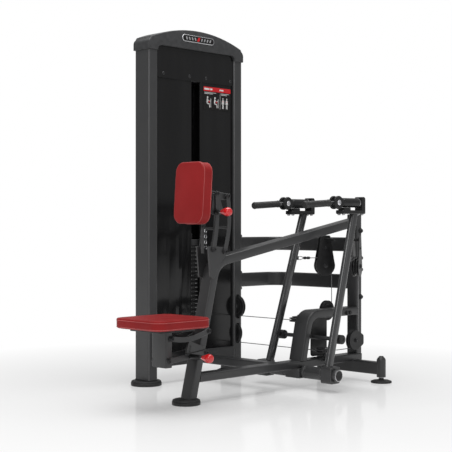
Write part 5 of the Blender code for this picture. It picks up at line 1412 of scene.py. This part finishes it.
def lever_bracket(side, s):
    """The U-shaped bracket that the handle's barrel turns on, with its bolts."""
    body, y = f"lever_{side}", s * LEVER_TOP_Y
    half, low, high = BRACKET_WIDE / 2, BRACKET_LOW, BRACKET_LOW + BRACKET_PLATE
    base = chamfered(
        rounded(BRACKET_FRONT, y - half, BRACKET_BACK, y + half, 0.010, 6), "Z", low, high, 0.003
    )
    top = BARREL_Z + 0.036
    back = [(BRACKET_BACK - 0.034, low + 0.004), (BRACKET_BACK - 0.0005, low + 0.004)]
    back += arc(BRACKET_BACK - 0.0145, top - 0.014, 0.014, 0, 90, 8) + arc(
        BRACKET_BACK - 0.028, top - 0.006, 0.006, 90, 180, 5
    )
    back = chamfered(back, "Y", y - half + 0.001, y + half - 0.001, 0.003)
    saddle = block(
        1.064, 1.124, y - half + 0.004, y + half - 0.004, high - 0.002, BARREL_Z - BARREL_R - 0.0008, 0.003
    )
    piece(f"{body}_bracket", joined(base, back, saddle), "gloss_black", body)
    stub = rod((BRACKET_BACK - 0.036, y, BARREL_Z), (1.137, y, BARREL_Z), 0.0095)
    piece(f"{body}_stub", stub, "chrome", body)
    heads = [
        bolt((x, y + b, low), (0, 0, -1), 0.0085, 0.008, "socket")
        for x in (BRACKET_FRONT + 0.020, BRACKET_BACK - 0.022)
        for b in (-0.017, 0.017)
    ]
    heads.append(bolt((BRACKET_BACK - 0.0002, y, BARREL_Z), (1, 0, 0), 0.0125, 0.010, "hex"))
    piece(f"{body}_bracket_bolts", joined(*heads), "zinc", body)


def lever_lug(side, s):
    """The lug on the lever, with the snap link and the screwed end that the cable is fixed in."""
    body = f"lever_{side}"
    root = lug_root(s)
    lug = chamfered(
        rounded(root.x, LUG.z - 0.012, LUG.x - 0.004, LUG.z + 0.012, 0.006, 5),
        "Y",
        root.y - 0.005,
        root.y + 0.005,
        0.001,
    )
    piece(f"{body}_lug", lug, "frame", body)
    way, start, up = frame_way(s), link_start(s), Vector((0, 0, 1))
    half_long, half_tall, pear, steps = 0.019, 0.0095, 0.25, 32
    link = []
    for n in range(steps + 1):
        angle = 2 * math.pi * n / steps
        rise = half_tall * math.sin(angle) * (1 + pear * math.cos(angle))
        link.append(start + way * (half_long - half_long * math.cos(angle)) + up * rise)
    piece(f"{body}_snap_link", wire(link, 0.0028, 12), "zinc", body)
    at = start + way * CABLE_END_AT
    sleeve = [
        (0, 0), (0.0045, 0), (0.0045, 0.005), (0.0075, 0.006), (0.0088, 0.008), (0.0088, 0.021),
        (0.0075, 0.023),
    ]
    sleeve += [(0.0055, 0.0235), (0.0055, 0.0275), (0.0075, 0.028), (0.0088, 0.030), (0.0088, 0.043)]
    sleeve += [(0.0075, 0.045), (0.0042, 0.046), (0.0040, 0.050), (0, 0.050)]
    piece(f"{body}_cable_end", turned(sleeve, at, way, 24), "bolt", body)


def handle(side, s):
    y = s * LEVER_TOP_Y
    knuckle, grip = f"handle_knuckle_{side}", f"grip_{side}"
    front = BRACKET_BACK - 0.0348
    profile = [
        (0, 0), (BARREL_R - 0.002, 0), (BARREL_R, 0.002), (BARREL_R, 0.012), (BARREL_R - 0.0015, 0.0135),
        (BARREL_R - 0.0015, 0.0155), (BARREL_R, 0.017),
    ]
    profile += [
        (BARREL_R, front - 1.078), (0.0265, front - 1.072), (0.0235, front - 1.064),
        (0.0195, front - 1.050), (0.018, front - 1.045), (0, front - 1.045),
    ]
    barrel = turned(profile, (front, y, BARREL_Z), (-1, 0, 0), 48)
    piece(f"{knuckle}_barrel", barrel, "gloss_black", f"handle_{side}", replaces=[knuckle])
    ring = [
        (BARREL_R - 0.001, 0.0132),
        (BARREL_R + 0.0006, 0.0136),
        (BARREL_R + 0.0006, 0.0156),
        (BARREL_R - 0.001, 0.0160),
    ]
    piece(f"{knuckle}_ring", turned(ring, (front, y, BARREL_Z), (-1, 0, 0), 48), "chrome", f"handle_{side}")
    cheeks = []
    for low, high in ((y - 0.025, y - 0.0108), (y + 0.0108, y + 0.025)):
        outline = arc(KNUCKLE_X, BARREL_Z, KNUCKLE_R - 0.001, 50, 310, 36)
        outline += [(KNUCKLE_X + 0.046, BARREL_Z - 0.018), (KNUCKLE_X + 0.046, BARREL_Z + 0.018)]
        cheeks.append(chamfered(outline, "Y", low, high, 0.003))
    web = block(
        KNUCKLE_X + 0.027, KNUCKLE_X + 0.046, y - 0.0115, y + 0.0115, BARREL_Z - 0.018, BARREL_Z + 0.018
    )
    piece(f"{knuckle}_fork", joined(*cheeks, web), "gloss_black", f"handle_{side}")
    heads = [
        bolt((KNUCKLE_X, y + t * 0.0248, BARREL_Z), (0, t, 0), 0.0120, 0.0062, "socket") for t in (-1, 1)
    ]
    piece(f"{knuckle}_pin", joined(*heads), "chrome", f"handle_{side}")
    way = Vector((-math.cos(GRIP_DROOP), 0, -math.sin(GRIP_DROOP)))
    centre = Vector((KNUCKLE_X, y, BARREL_Z))
    near, tip = KNUCKLE_X - GRIP_NEAR, KNUCKLE_X - GRIP_TIP
    arm = [
        (0, 0.012), (0.0095, 0.012), (0.0095, near - 0.006), (0.014, near - 0.005), (0.0145, near - 0.001),
        (0, near - 0.001),
    ]
    eye = turned(
        [
            (0.0086, -0.0098), (0.0195, -0.0098), (0.0202, -0.009), (0.0202, 0.009), (0.0195, 0.0098),
            (0.0086, 0.0098),
        ],
        centre,
        (0, 1, 0),
        36,
    )
    piece(f"{grip}_arm", joined(turned(arm, centre, way, 32), eye), "chrome", f"grip_{side}")
    sleeve = [
        (0, near - 0.0005),
        (GRIP_R - 0.003, near - 0.0005),
        (GRIP_R + 0.0015, near + 0.0015),
        (GRIP_R + 0.0015, near + 0.006),
        (GRIP_R, near + 0.008),
    ]
    count = 26
    first, last = near + 0.014, tip - 0.022
    for n in range(count):
        at = first + (last - first) * n / (count - 1)
        sleeve += [(GRIP_R, at - 0.0022), (GRIP_R - 0.0009, at), (GRIP_R, at + 0.0022)]
    sleeve += [(GRIP_R, tip - 0.014), (GRIP_R + 0.0012, tip - 0.012), (GRIP_R + 0.0012, tip - 0.009)]
    sleeve += [
        (GRIP_R - 0.0005, tip - 0.0040), (GRIP_R - 0.004, tip - 0.001), (GRIP_R - 0.009, tip), (0, tip)
    ]
    piece(f"{grip}_sleeve", turned(sleeve, centre, way, 40), "grip", f"grip_{side}", replaces=[grip])


# ---------------------------------------------------------------- pulleys
def pulley(name, centre, axis, body, radius=PULLEY_R, cable_r=PULLEY_CABLE_R, grooves=(0.0,)):
    bore, bed, low, high = AXLE_R + 0.0006, cable_r - CABLE_R - 0.0004, grooves[0] - PULLEY_HALF, grooves[
        -1
    ] + PULLEY_HALF
    rim = [
        (bore, low),
        (0.0165, low),
        (0.0175, low + 0.001),
        (0.0185, low + 0.0040),
        (bed - 0.010, low + 0.0040),
    ]
    rim += [(bed - 0.006, low + 0.001), (bed - 0.005, low), (radius - 0.001, low), (radius, low + 0.001)]
    for g in grooves:
        rim += [
            (radius, g - 0.0068),
            (radius - 0.0008, g - 0.0060),
            (bed + 0.0030, g - 0.0034),
            (bed + 0.0008, g - 0.0020),
            (bed, g),
        ]
        rim += [
            (bed + 0.0008, g + 0.0020),
            (bed + 0.0030, g + 0.0034),
            (radius - 0.0008, g + 0.0060),
            (radius, g + 0.0068),
        ]
    rim += [(radius, high - 0.001), (radius - 0.001, high), (bed - 0.005, high), (bed - 0.006, high - 0.001)]
    rim += [
        (bed - 0.010, high - 0.0040),
        (0.0185, high - 0.0040),
        (0.0175, high - 0.001),
        (0.0165, high),
        (bore, high),
    ]
    piece(f"{name}_wheel", turned(rim, centre, axis, 56), "nylon", body, replaces=[name])
    ring = [
        (bore, low - 0.0006), (0.0125, low - 0.0006), (0.0130, low), (0.0130, high),
        (0.0125, high + 0.0006), (bore, high + 0.0006),
    ]
    piece(f"{name}_bearing", turned(ring, centre, axis, 32), "zinc", body)


def pulleys():
    for side, s in SIDES:
        centre = frame_pulley_at(s)
        way = frame_way(s)
        normal = Vector((-way.y, way.x, 0))
        pulley(f"frame_pulley_{side}", centre, normal, f"frame_pulley_{side}")
        housing(side, centre, way, normal)
        pulley(
            f"corner_pulley_{side}",
            (CORNER_X, DOWN_Y[side] + PULLEY_CABLE_R, RUN_Z[side]),
            (0, 0, 1),
            f"corner_pulley_{side}",
        )
        name = "arch_pulley" if side == "left" else "low_pulley"
        pulley(
            name,
            (DOWN_X - PULLEY_CABLE_R, DOWN_Y[side], RUN_Z[side] + PULLEY_CABLE_R),
            (0, 1, 0),
            name,
            0.062,
        )
        name = "side_pulley_upper" if side == "left" else "side_pulley_lower"
        pulley(name, (RUN_X, SIDE_Y[side], RUN_Z[side] + SIDE_CABLE_R), (1, 0, 0), name, SIDE_R, SIDE_CABLE_R)
    ys = [SIDE_Y[side] + SIDE_CABLE_R for side in ("left", "right")]
    middle = sum(ys) / 2
    for name, x in zip(("top_pulley", "post_pulley"), TOP_PULLEY_X):
        pulley(name, (x, middle, TOP_PULLEY_Z), (0, 1, 0), name, grooves=[y - middle for y in ys])


def housing(side, centre, way, normal):
    """Two teardrop cheeks on one bolt, under a hanger plate."""
    neck = 0.031
    outline = arc(0, 0, HOUSING_R, 160, 380, 40) + [
        (neck, HOUSING_TOP - centre.z - 0.006), (neck - 0.006, HOUSING_TOP - centre.z)
    ]
    outline += [(-neck + 0.006, HOUSING_TOP - centre.z), (-neck, HOUSING_TOP - centre.z - 0.006)]
    inner = inset_outline(outline, 0.0012)
    parts = []
    for low in (CHEEK_AT, -CHEEK_AT - CHEEK_T):
        bm = bmesh.new()
        rows = (
            (inner, low), (outline, low + 0.0012), (outline, low + CHEEK_T - 0.0012), (inner, low + CHEEK_T)
        )
        rings = [
            [bm.verts.new(centre + way * a + normal * t + Vector((0, 0, b))) for a, b in ring]
            for ring, t in rows
        ]
        skin(bm, rings)
        parts.append(bm)
    s = 1 if centre.y > 0 else -1
    top = HOUSING_TOP
    parts.append(
        block(
            centre.x - 0.020,
            centre.x + 0.020,
            *sorted((s * (TUBE_W / 2 + GAP), s * 0.135)),
            top - 0.034,
            top - 0.018,
        )
    )
    spacer = bmesh.new()
    rows = []
    for z in (top - 0.030, top - 0.022):
        rows.append(
            [
                spacer.verts.new(centre + way * a + normal * t + Vector((0, 0, z - centre.z)))
                for a, t in rounded(
                    -neck + 0.004, -CHEEK_AT - 0.001, neck - 0.004, CHEEK_AT + 0.001, 0.002, 3
                )
            ]
        )
    skin(spacer, rows)
    parts.append(spacer)
    piece(
        f"pulley_housing_{side}_cheeks",
        joined(*parts),
        "gloss_black",
        "frame",
        replaces=[f"pulley_housing_{side}"],
    )
    reach = CHEEK_AT + CHEEK_T
    axle = rod(centre - normal * reach, centre + normal * reach, AXLE_R - 0.0006)
    heads = [bolt(centre + normal * t * (reach - 0.0002), normal * t, 0.0120, 0.0095, "hex") for t in (-1, 1)]
    above = centre + Vector((0, 0, 0.110))
    heads += [
        bolt(above + normal * t * (reach - 0.0002), normal * t, 0.0065, 0.005, "socket") for t in (-1, 1)
    ]
    piece(f"pulley_housing_{side}_axle", joined(axle, *heads), "bolt", "frame")


# ---------------------------------------------------------------- cables
def wrap(centre, first, second, radius, steps=20):
    centre, first, second = Vector(centre), Vector(first), Vector(second)
    angles = [math.pi / 2 * n / steps for n in range(steps + 1)]
    return [centre + (first * math.cos(a) + second * math.sin(a)) * radius for a in angles]


def run(start, end, gap=0.03):
    """Points spread evenly along a straight stretch, without its ends."""
    count = max(1, round((end - start).length / gap))
    return [start.lerp(end, n / count) for n in range(1, count)]


def cables():
    up, down = Vector((0, 0, 1)), Vector((0, 0, -1))
    x, y = Vector((1, 0, 0)), Vector((0, 1, 0))
    r = PULLEY_CABLE_R
    for side, s in SIDES:
        way = frame_way(s)
        centre = frame_pulley_at(s)
        points = wrap(centre, up, way, r)
        points += wrap((DOWN_X - r, DOWN_Y[side], RUN_Z[side] + r), x, down, r)
        points += wrap((CORNER_X, DOWN_Y[side] + r, RUN_Z[side]), -y, -x, r)
        rise = SIDE_Y[side] + SIDE_CABLE_R
        points += wrap((RUN_X, SIDE_Y[side], RUN_Z[side] + SIDE_CABLE_R), down, y, SIDE_CABLE_R)
        points += wrap((TOP_PULLEY_X[1], rise, TOP_PULLEY_Z), x, up, r)
        points += wrap((TOP_PULLEY_X[0], rise, TOP_PULLEY_Z), up, -x, r)
        piece(f"cable_{side}_run", wire(points, CABLE_R, 12), "cable", "frame", replaces=[f"cable_{side}"])
        start = link_start(s) + way * CABLE_START
        end = centre + up * r
        pull = piece(
            f"cable_{side}_pull", wire([start, *run(start, end, 0.008), end], CABLE_R, 12), "cable", None
        )
        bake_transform(pull)
    stack_cables()


def stack_cables():
    ys = [SIDE_Y[side] + SIDE_CABLE_R for side in ("left", "right")]
    low = YOKE_TOP + GAP
    shackle = chamfered(
        rounded(STACK_X - 0.008, ys[0] - 0.006, STACK_X + 0.008, ys[1] + 0.006, 0.004, 4),
        "Z",
        low,
        low + 0.020,
        0.002,
    )
    piece("stack_shackle", shackle, "zinc", "stack")
    parts = []
    for y in ys:
        start, end = Vector((STACK_X, y, low + 0.012)), Vector((STACK_X, y, TOP_PULLEY_Z))
        parts.append(wire([start, *run(start, end, 0.03), end], CABLE_R, 12))
    hanging = piece("stack_cable_ends", joined(*parts), "cable", None, replaces=["stack_cables"])
    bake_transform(hanging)


# ---------------------------------------------------------------- seat and chest linkages
def link_pair(name, outline, body, bar_at, inner, thick):
    parts = both_sides(outline, inner, inner + thick)
    x, z = bar_at
    parts.append(rod((x, -inner - 0.002, z), (x, inner + 0.002, z), 0.009))
    piece(f"{name}_plates", joined(*parts), "frame", body, replaces=[name])


def knob(name, x, z, start, pin_to, body):
    """A pear-shaped pull knob with a black boss, on its steel pin."""
    ball = [(0, start + 0.022), (0.0118, start + 0.022), (0.0128, start + 0.025), (0.0152, start + 0.033)]
    ball += [
        (0.0195, start + 0.046), (0.0228, start + 0.057), (0.0240, start + 0.067), (0.0232, start + 0.076)
    ]
    ball += [(0.0200, start + 0.0835), (0.0145, start + 0.0880), (0.0075, start + 0.0898), (0, start + 0.090)]
    centre, axis = (x, 0, z), (0, -1, 0)
    piece(
        f"{name}_ball", turned(smooth_profile(ball), centre, axis, 48), "red_plastic", body, replaces=[name]
    )
    boss = [
        (0, start), (0.0112, start), (0.0120, start + 0.001), (0.0120, start + 0.009),
        (0.0110, start + 0.010), (0, start + 0.010),
    ]
    piece(f"{name}_boss", turned(boss, centre, axis, 32), "rubber", body)
    neck = rod((x, -start - 0.008, z), (x, -start - 0.024, z), 0.0085)
    piece(f"{name}_shaft", joined(rod((x, -pin_to, z), (x, -start - 0.010, z), 0.0048), neck), "chrome", body)


def smooth_profile(profile, steps=4):
    """A turned profile made rounder between its first and last points, as one smooth curve."""
    out = [profile[0], profile[1]]
    for n in range(1, len(profile) - 2):
        p0, p1, p2, p3 = (Vector(profile[k]) for k in (n - 1 if n > 1 else n, n, n + 1, n + 2))
        for k in range(1, steps + 1):
            t = k / steps
            spot = 0.5 * (
                2 * p1 + (p2 - p0) * t + (2 * p0 - 5 * p1 + 4 * p2 - p3) * t**2 + (
                    3 * p1 - p0 - 3 * p2 + p3
                ) * t**3
            )
            out.append((max(spot.x, 0.0), spot.y))
    return out + [profile[-1]]


def seat_links():
    ux, uz = SEAT_UPPER_PIN
    lx, lz = SEAT_LOWER_PIN
    inner, thick = 0.0555, 0.006
    upper_end, lower_end = (ux + SEAT_LINK[0], uz + SEAT_LINK[1]), (lx + SEAT_LINK[0], lz + SEAT_LINK[1])
    bar = ((ux + upper_end[0]) / 2 + 0.01, (uz + upper_end[1]) / 2 - 0.018)
    link_pair(
        "seat_upper_link", bowed_bar(upper_end, SEAT_UPPER_PIN, 0.015, 0.020), "seat_upper_link", bar,
        inner, thick,
    )
    way = Vector(SEAT_LINK).normalized()
    bar = Vector(SEAT_LOWER_PIN) + way * 0.165
    link_pair(
        "seat_lower_link", capsule(SEAT_LOWER_PIN, lower_end, 0.015), "seat_lower_link", bar, inner, thick
    )
    plunger = Vector(SEAT_LOWER_PIN) + way * SEAT_PLUNGER_AT
    barrel = [
        (0, inner + thick - 0.002), (0.0135, inner + thick - 0.002), (0.0135, 0.1300), (0.0125, 0.132),
        (0.0060, 0.132), (0.0060, 0.128), (0, 0.128),
    ]
    piece(
        "seat_plunger_barrel",
        turned(barrel, (plunger.x, 0, plunger.y), (0, -1, 0), 40),
        "gloss_black",
        "seat_lower_link",
    )
    knob("seat_knob", plunger.x, plunger.y, 0.1326, 0.0528, "seat_knob")
    x = (-0.196 - 0.148) / 2
    tube = box_tube([(x, 0, 0.218), (x, 0, 0.4065)], (1, 0, 0), 0.048, 0.110, 0.008)
    piece("seat_carrier_tube", tube, "frame", "seat", replaces=["seat_carrier"])
    outline = rounded(x - 0.0235, -0.0545, x + 0.0235, 0.0545, 0.008, 5)
    piece("seat_carrier_plug", chamfered(outline, "Z", 0.2150, 0.2185, 0.0012), "rubber", "seat")
    piece(
        "seat_carrier_plate",
        block(-0.290, -0.050, -0.120, 0.120, 0.4055, SEAT_LOW - GAP),
        "gloss_black",
        "seat",
    )
    piece("seat_carrier_pins", joined(*stub_pins((upper_end, lower_end), 0.0545, 0.0625)), "zinc", "seat")
    pivot_bolts("seat_carrier_bolts", (upper_end, lower_end), 0.0618, "seat", 0.0115)


def chest_links():
    fx, fz = CHEST_FRONT_PIN
    rx, rz = CHEST_REAR_PIN
    front_top, rear_top = (fx + CHEST_LINK[0], fz + CHEST_LINK[1]), (rx + CHEST_LINK[0], rz + CHEST_LINK[1])
    inner, thick = 0.0490, 0.007
    link_pair(
        "chest_front_link", bowed_bar(CHEST_FRONT_PIN, front_top, 0.0135, 0.012), "chest_front_link",
        (0.183, 0.940), inner, thick,
    )
    link_pair(
        "chest_rear_link", bowed_bar(CHEST_REAR_PIN, rear_top, 0.0135, 0.020), "chest_rear_link",
        (0.274, 0.945), inner, thick,
    )
    px, pz = CHEST_PLUNGER
    ring = [
        (0, inner + thick - 0.002), (0.0155, inner + thick - 0.002), (0.0155, 0.0685), (0.0145, 0.070),
        (0.0060, 0.070), (0.0060, 0.067), (0, 0.067),
    ]
    piece(
        "chest_plunger_barrel", turned(ring, (px, 0, pz), (0, -1, 0), 40), "gloss_black", "chest_front_link"
    )
    knob("chest_knob", px, pz, 0.0706, 0.0478, "chest_knob")
    lean = Matrix.Rotation(PAD_TILT, 3, "Y")
    foot = Vector((PAD_FRONT, 0, PAD_LOW))
    start = PAD_FRONT + PAD_THICK + 0.0155
    outline = filleted(
        [(start, 1.098), (0.279, 1.098), (0.279, 1.133), (0.149, 1.147), (start, 1.147)], 0.006
    )
    arm = chamfered(outline, "Y", -0.040, 0.040, 0.003)
    back = PAD_FRONT + PAD_THICK
    plate = chamfered(rounded(-0.060, 1.040, 0.060, 1.235, 0.010, 5), "X", back + GAP, back + 0.008, 0.0015)
    bmesh.ops.rotate(plate, cent=foot, matrix=lean, verts=plate.verts)
    sx, sz = front_top
    sector = arc(sx, sz, 0.118, 250, 300, 20) + [(sx + 0.020, sz), (sx - 0.020, sz)]
    sector = chamfered(filleted(sector, 0.003, 3), "Y", -0.0475, -0.0390, 0.0012)
    piece("chest_carrier_arm", joined(arm, plate, sector), "frame", "chest", replaces=["chest_carrier"])
    radius = math.hypot(px - sx, pz - sz)
    here = math.degrees(math.atan2(pz - sz, px - sx))
    # The sector's index holes are dark discs of painted shade.
    holes = []
    for n in (-1, 1):
        hx, hz = arc(sx, sz, radius, here + 9 * n, here + 9 * n + 1, 1)[0]
        holes.append(hole_shade_disc(hx, -0.0475, hz))
    piece("chest_sector_holes", joined(*holes), "rubber", "chest")
    piece("chest_carrier_pins", joined(*stub_pins((front_top, rear_top), 0.040, 0.0570)), "zinc", "chest")
    pivot_bolts("chest_carrier_bolts", (front_top, rear_top), 0.0565, "chest")
    board = chamfered(
        rounded(-PAD_HALF + 0.014, PAD_LOW + 0.014, PAD_HALF - 0.014, PAD_HIGH - 0.014, 0.030, 8),
        "X",
        back - 0.0035,
        back + 0.0002,
        0.001,
    )
    bmesh.ops.rotate(board, cent=foot, matrix=lean, verts=board.verts)
    piece("chest_board", board, "pin_plastic", "chest")


def selector():
    pin_z = LIFT_LOW + 0.0125
    profile = [
        (0, 0), (0.0060, 0), (0.0118, 0.0022), (0.0130, 0.0045), (0.0122, 0.0085), (0.0130, 0.0125),
        (0.0122, 0.0165), (0.0130, 0.0200), (0.0118, 0.0235), (0.0080, 0.0270), (0, 0.0270),
    ]
    piece(
        "selector_pin_knob",
        turned(profile, (STACK_X, 0.615, pin_z), (0, 1, 0), 40),
        "rubber",
        "selector_pin",
        replaces=["selector_pin"],
    )
    piece(
        "selector_pin_shank",
        rod((STACK_X, 0.641, pin_z), (STACK_X, 0.711, pin_z), 0.0045),
        "chrome",
        "selector_pin",
    )


def plates(name, body, low, count):
    """Weight plates with broken edges, one on another, each with a pale strip by the selector hole and a dark
    disc of painted shade for the hole itself.
    """
    x0, x1 = STACK_X - 0.170, STACK_X + 0.170
    y0, y1 = STACK_Y - 0.040, STACK_Y + 0.040
    pile, strips, holes = [], [], []
    for n in range(count):
        z = low + PLATE_PITCH * n
        pile.append(block(x0, x1, y0, y1, z + 0.0004, z + PLATE_PITCH - 0.0004, 0.0022))
        for s in (-1, 1):
            middle = STACK_X + s * 0.0235
            strips.append(
                prism(
                    rounded(middle - 0.0095, z + 0.0105, middle + 0.0095, z + 0.0145, 0.001, 3),
                    "Y",
                    y0 - 0.0006,
                    y0 + 0.0004,
                )
            )
        # A dark disc at each selector hole: painted shade for the hole's shaded inside.
        holes.append(
            turned(
                [(0, 0), (0.0072, 0), (0.0078, 0.0005), (0.0078, 0.0009), (0, 0.0009)],
                (STACK_X, y0 + 0.0002, z + PLATE_PITCH / 2),
                (0, -1, 0),
                20,
            )
        )
    piece(f"{name}_plates", joined(*pile), "weights", body, replaces=[name])
    piece(f"{name}_strips", joined(*strips), "label", body)
    piece(f"{name}_sockets", joined(*holes), "rubber", body)


def stack():
    plates("weights_resting", "frame", STACK_LOW, 16)
    plates("weights_lifted", "stack", LIFT_LOW, 8)


# ---------------------------------------------------------------- build
seat_pad()
chest_pad()
tower_cap()
placard()
tower_hardware()
main_tube()
rear_upright()
curved_beams()
arch()
base_details()
for lever_side, lever_s in SIDES:
    lever(lever_side, lever_s)
    handle(lever_side, lever_s)
pulleys()
cables()
seat_links()
chest_links()
selector()
stack()
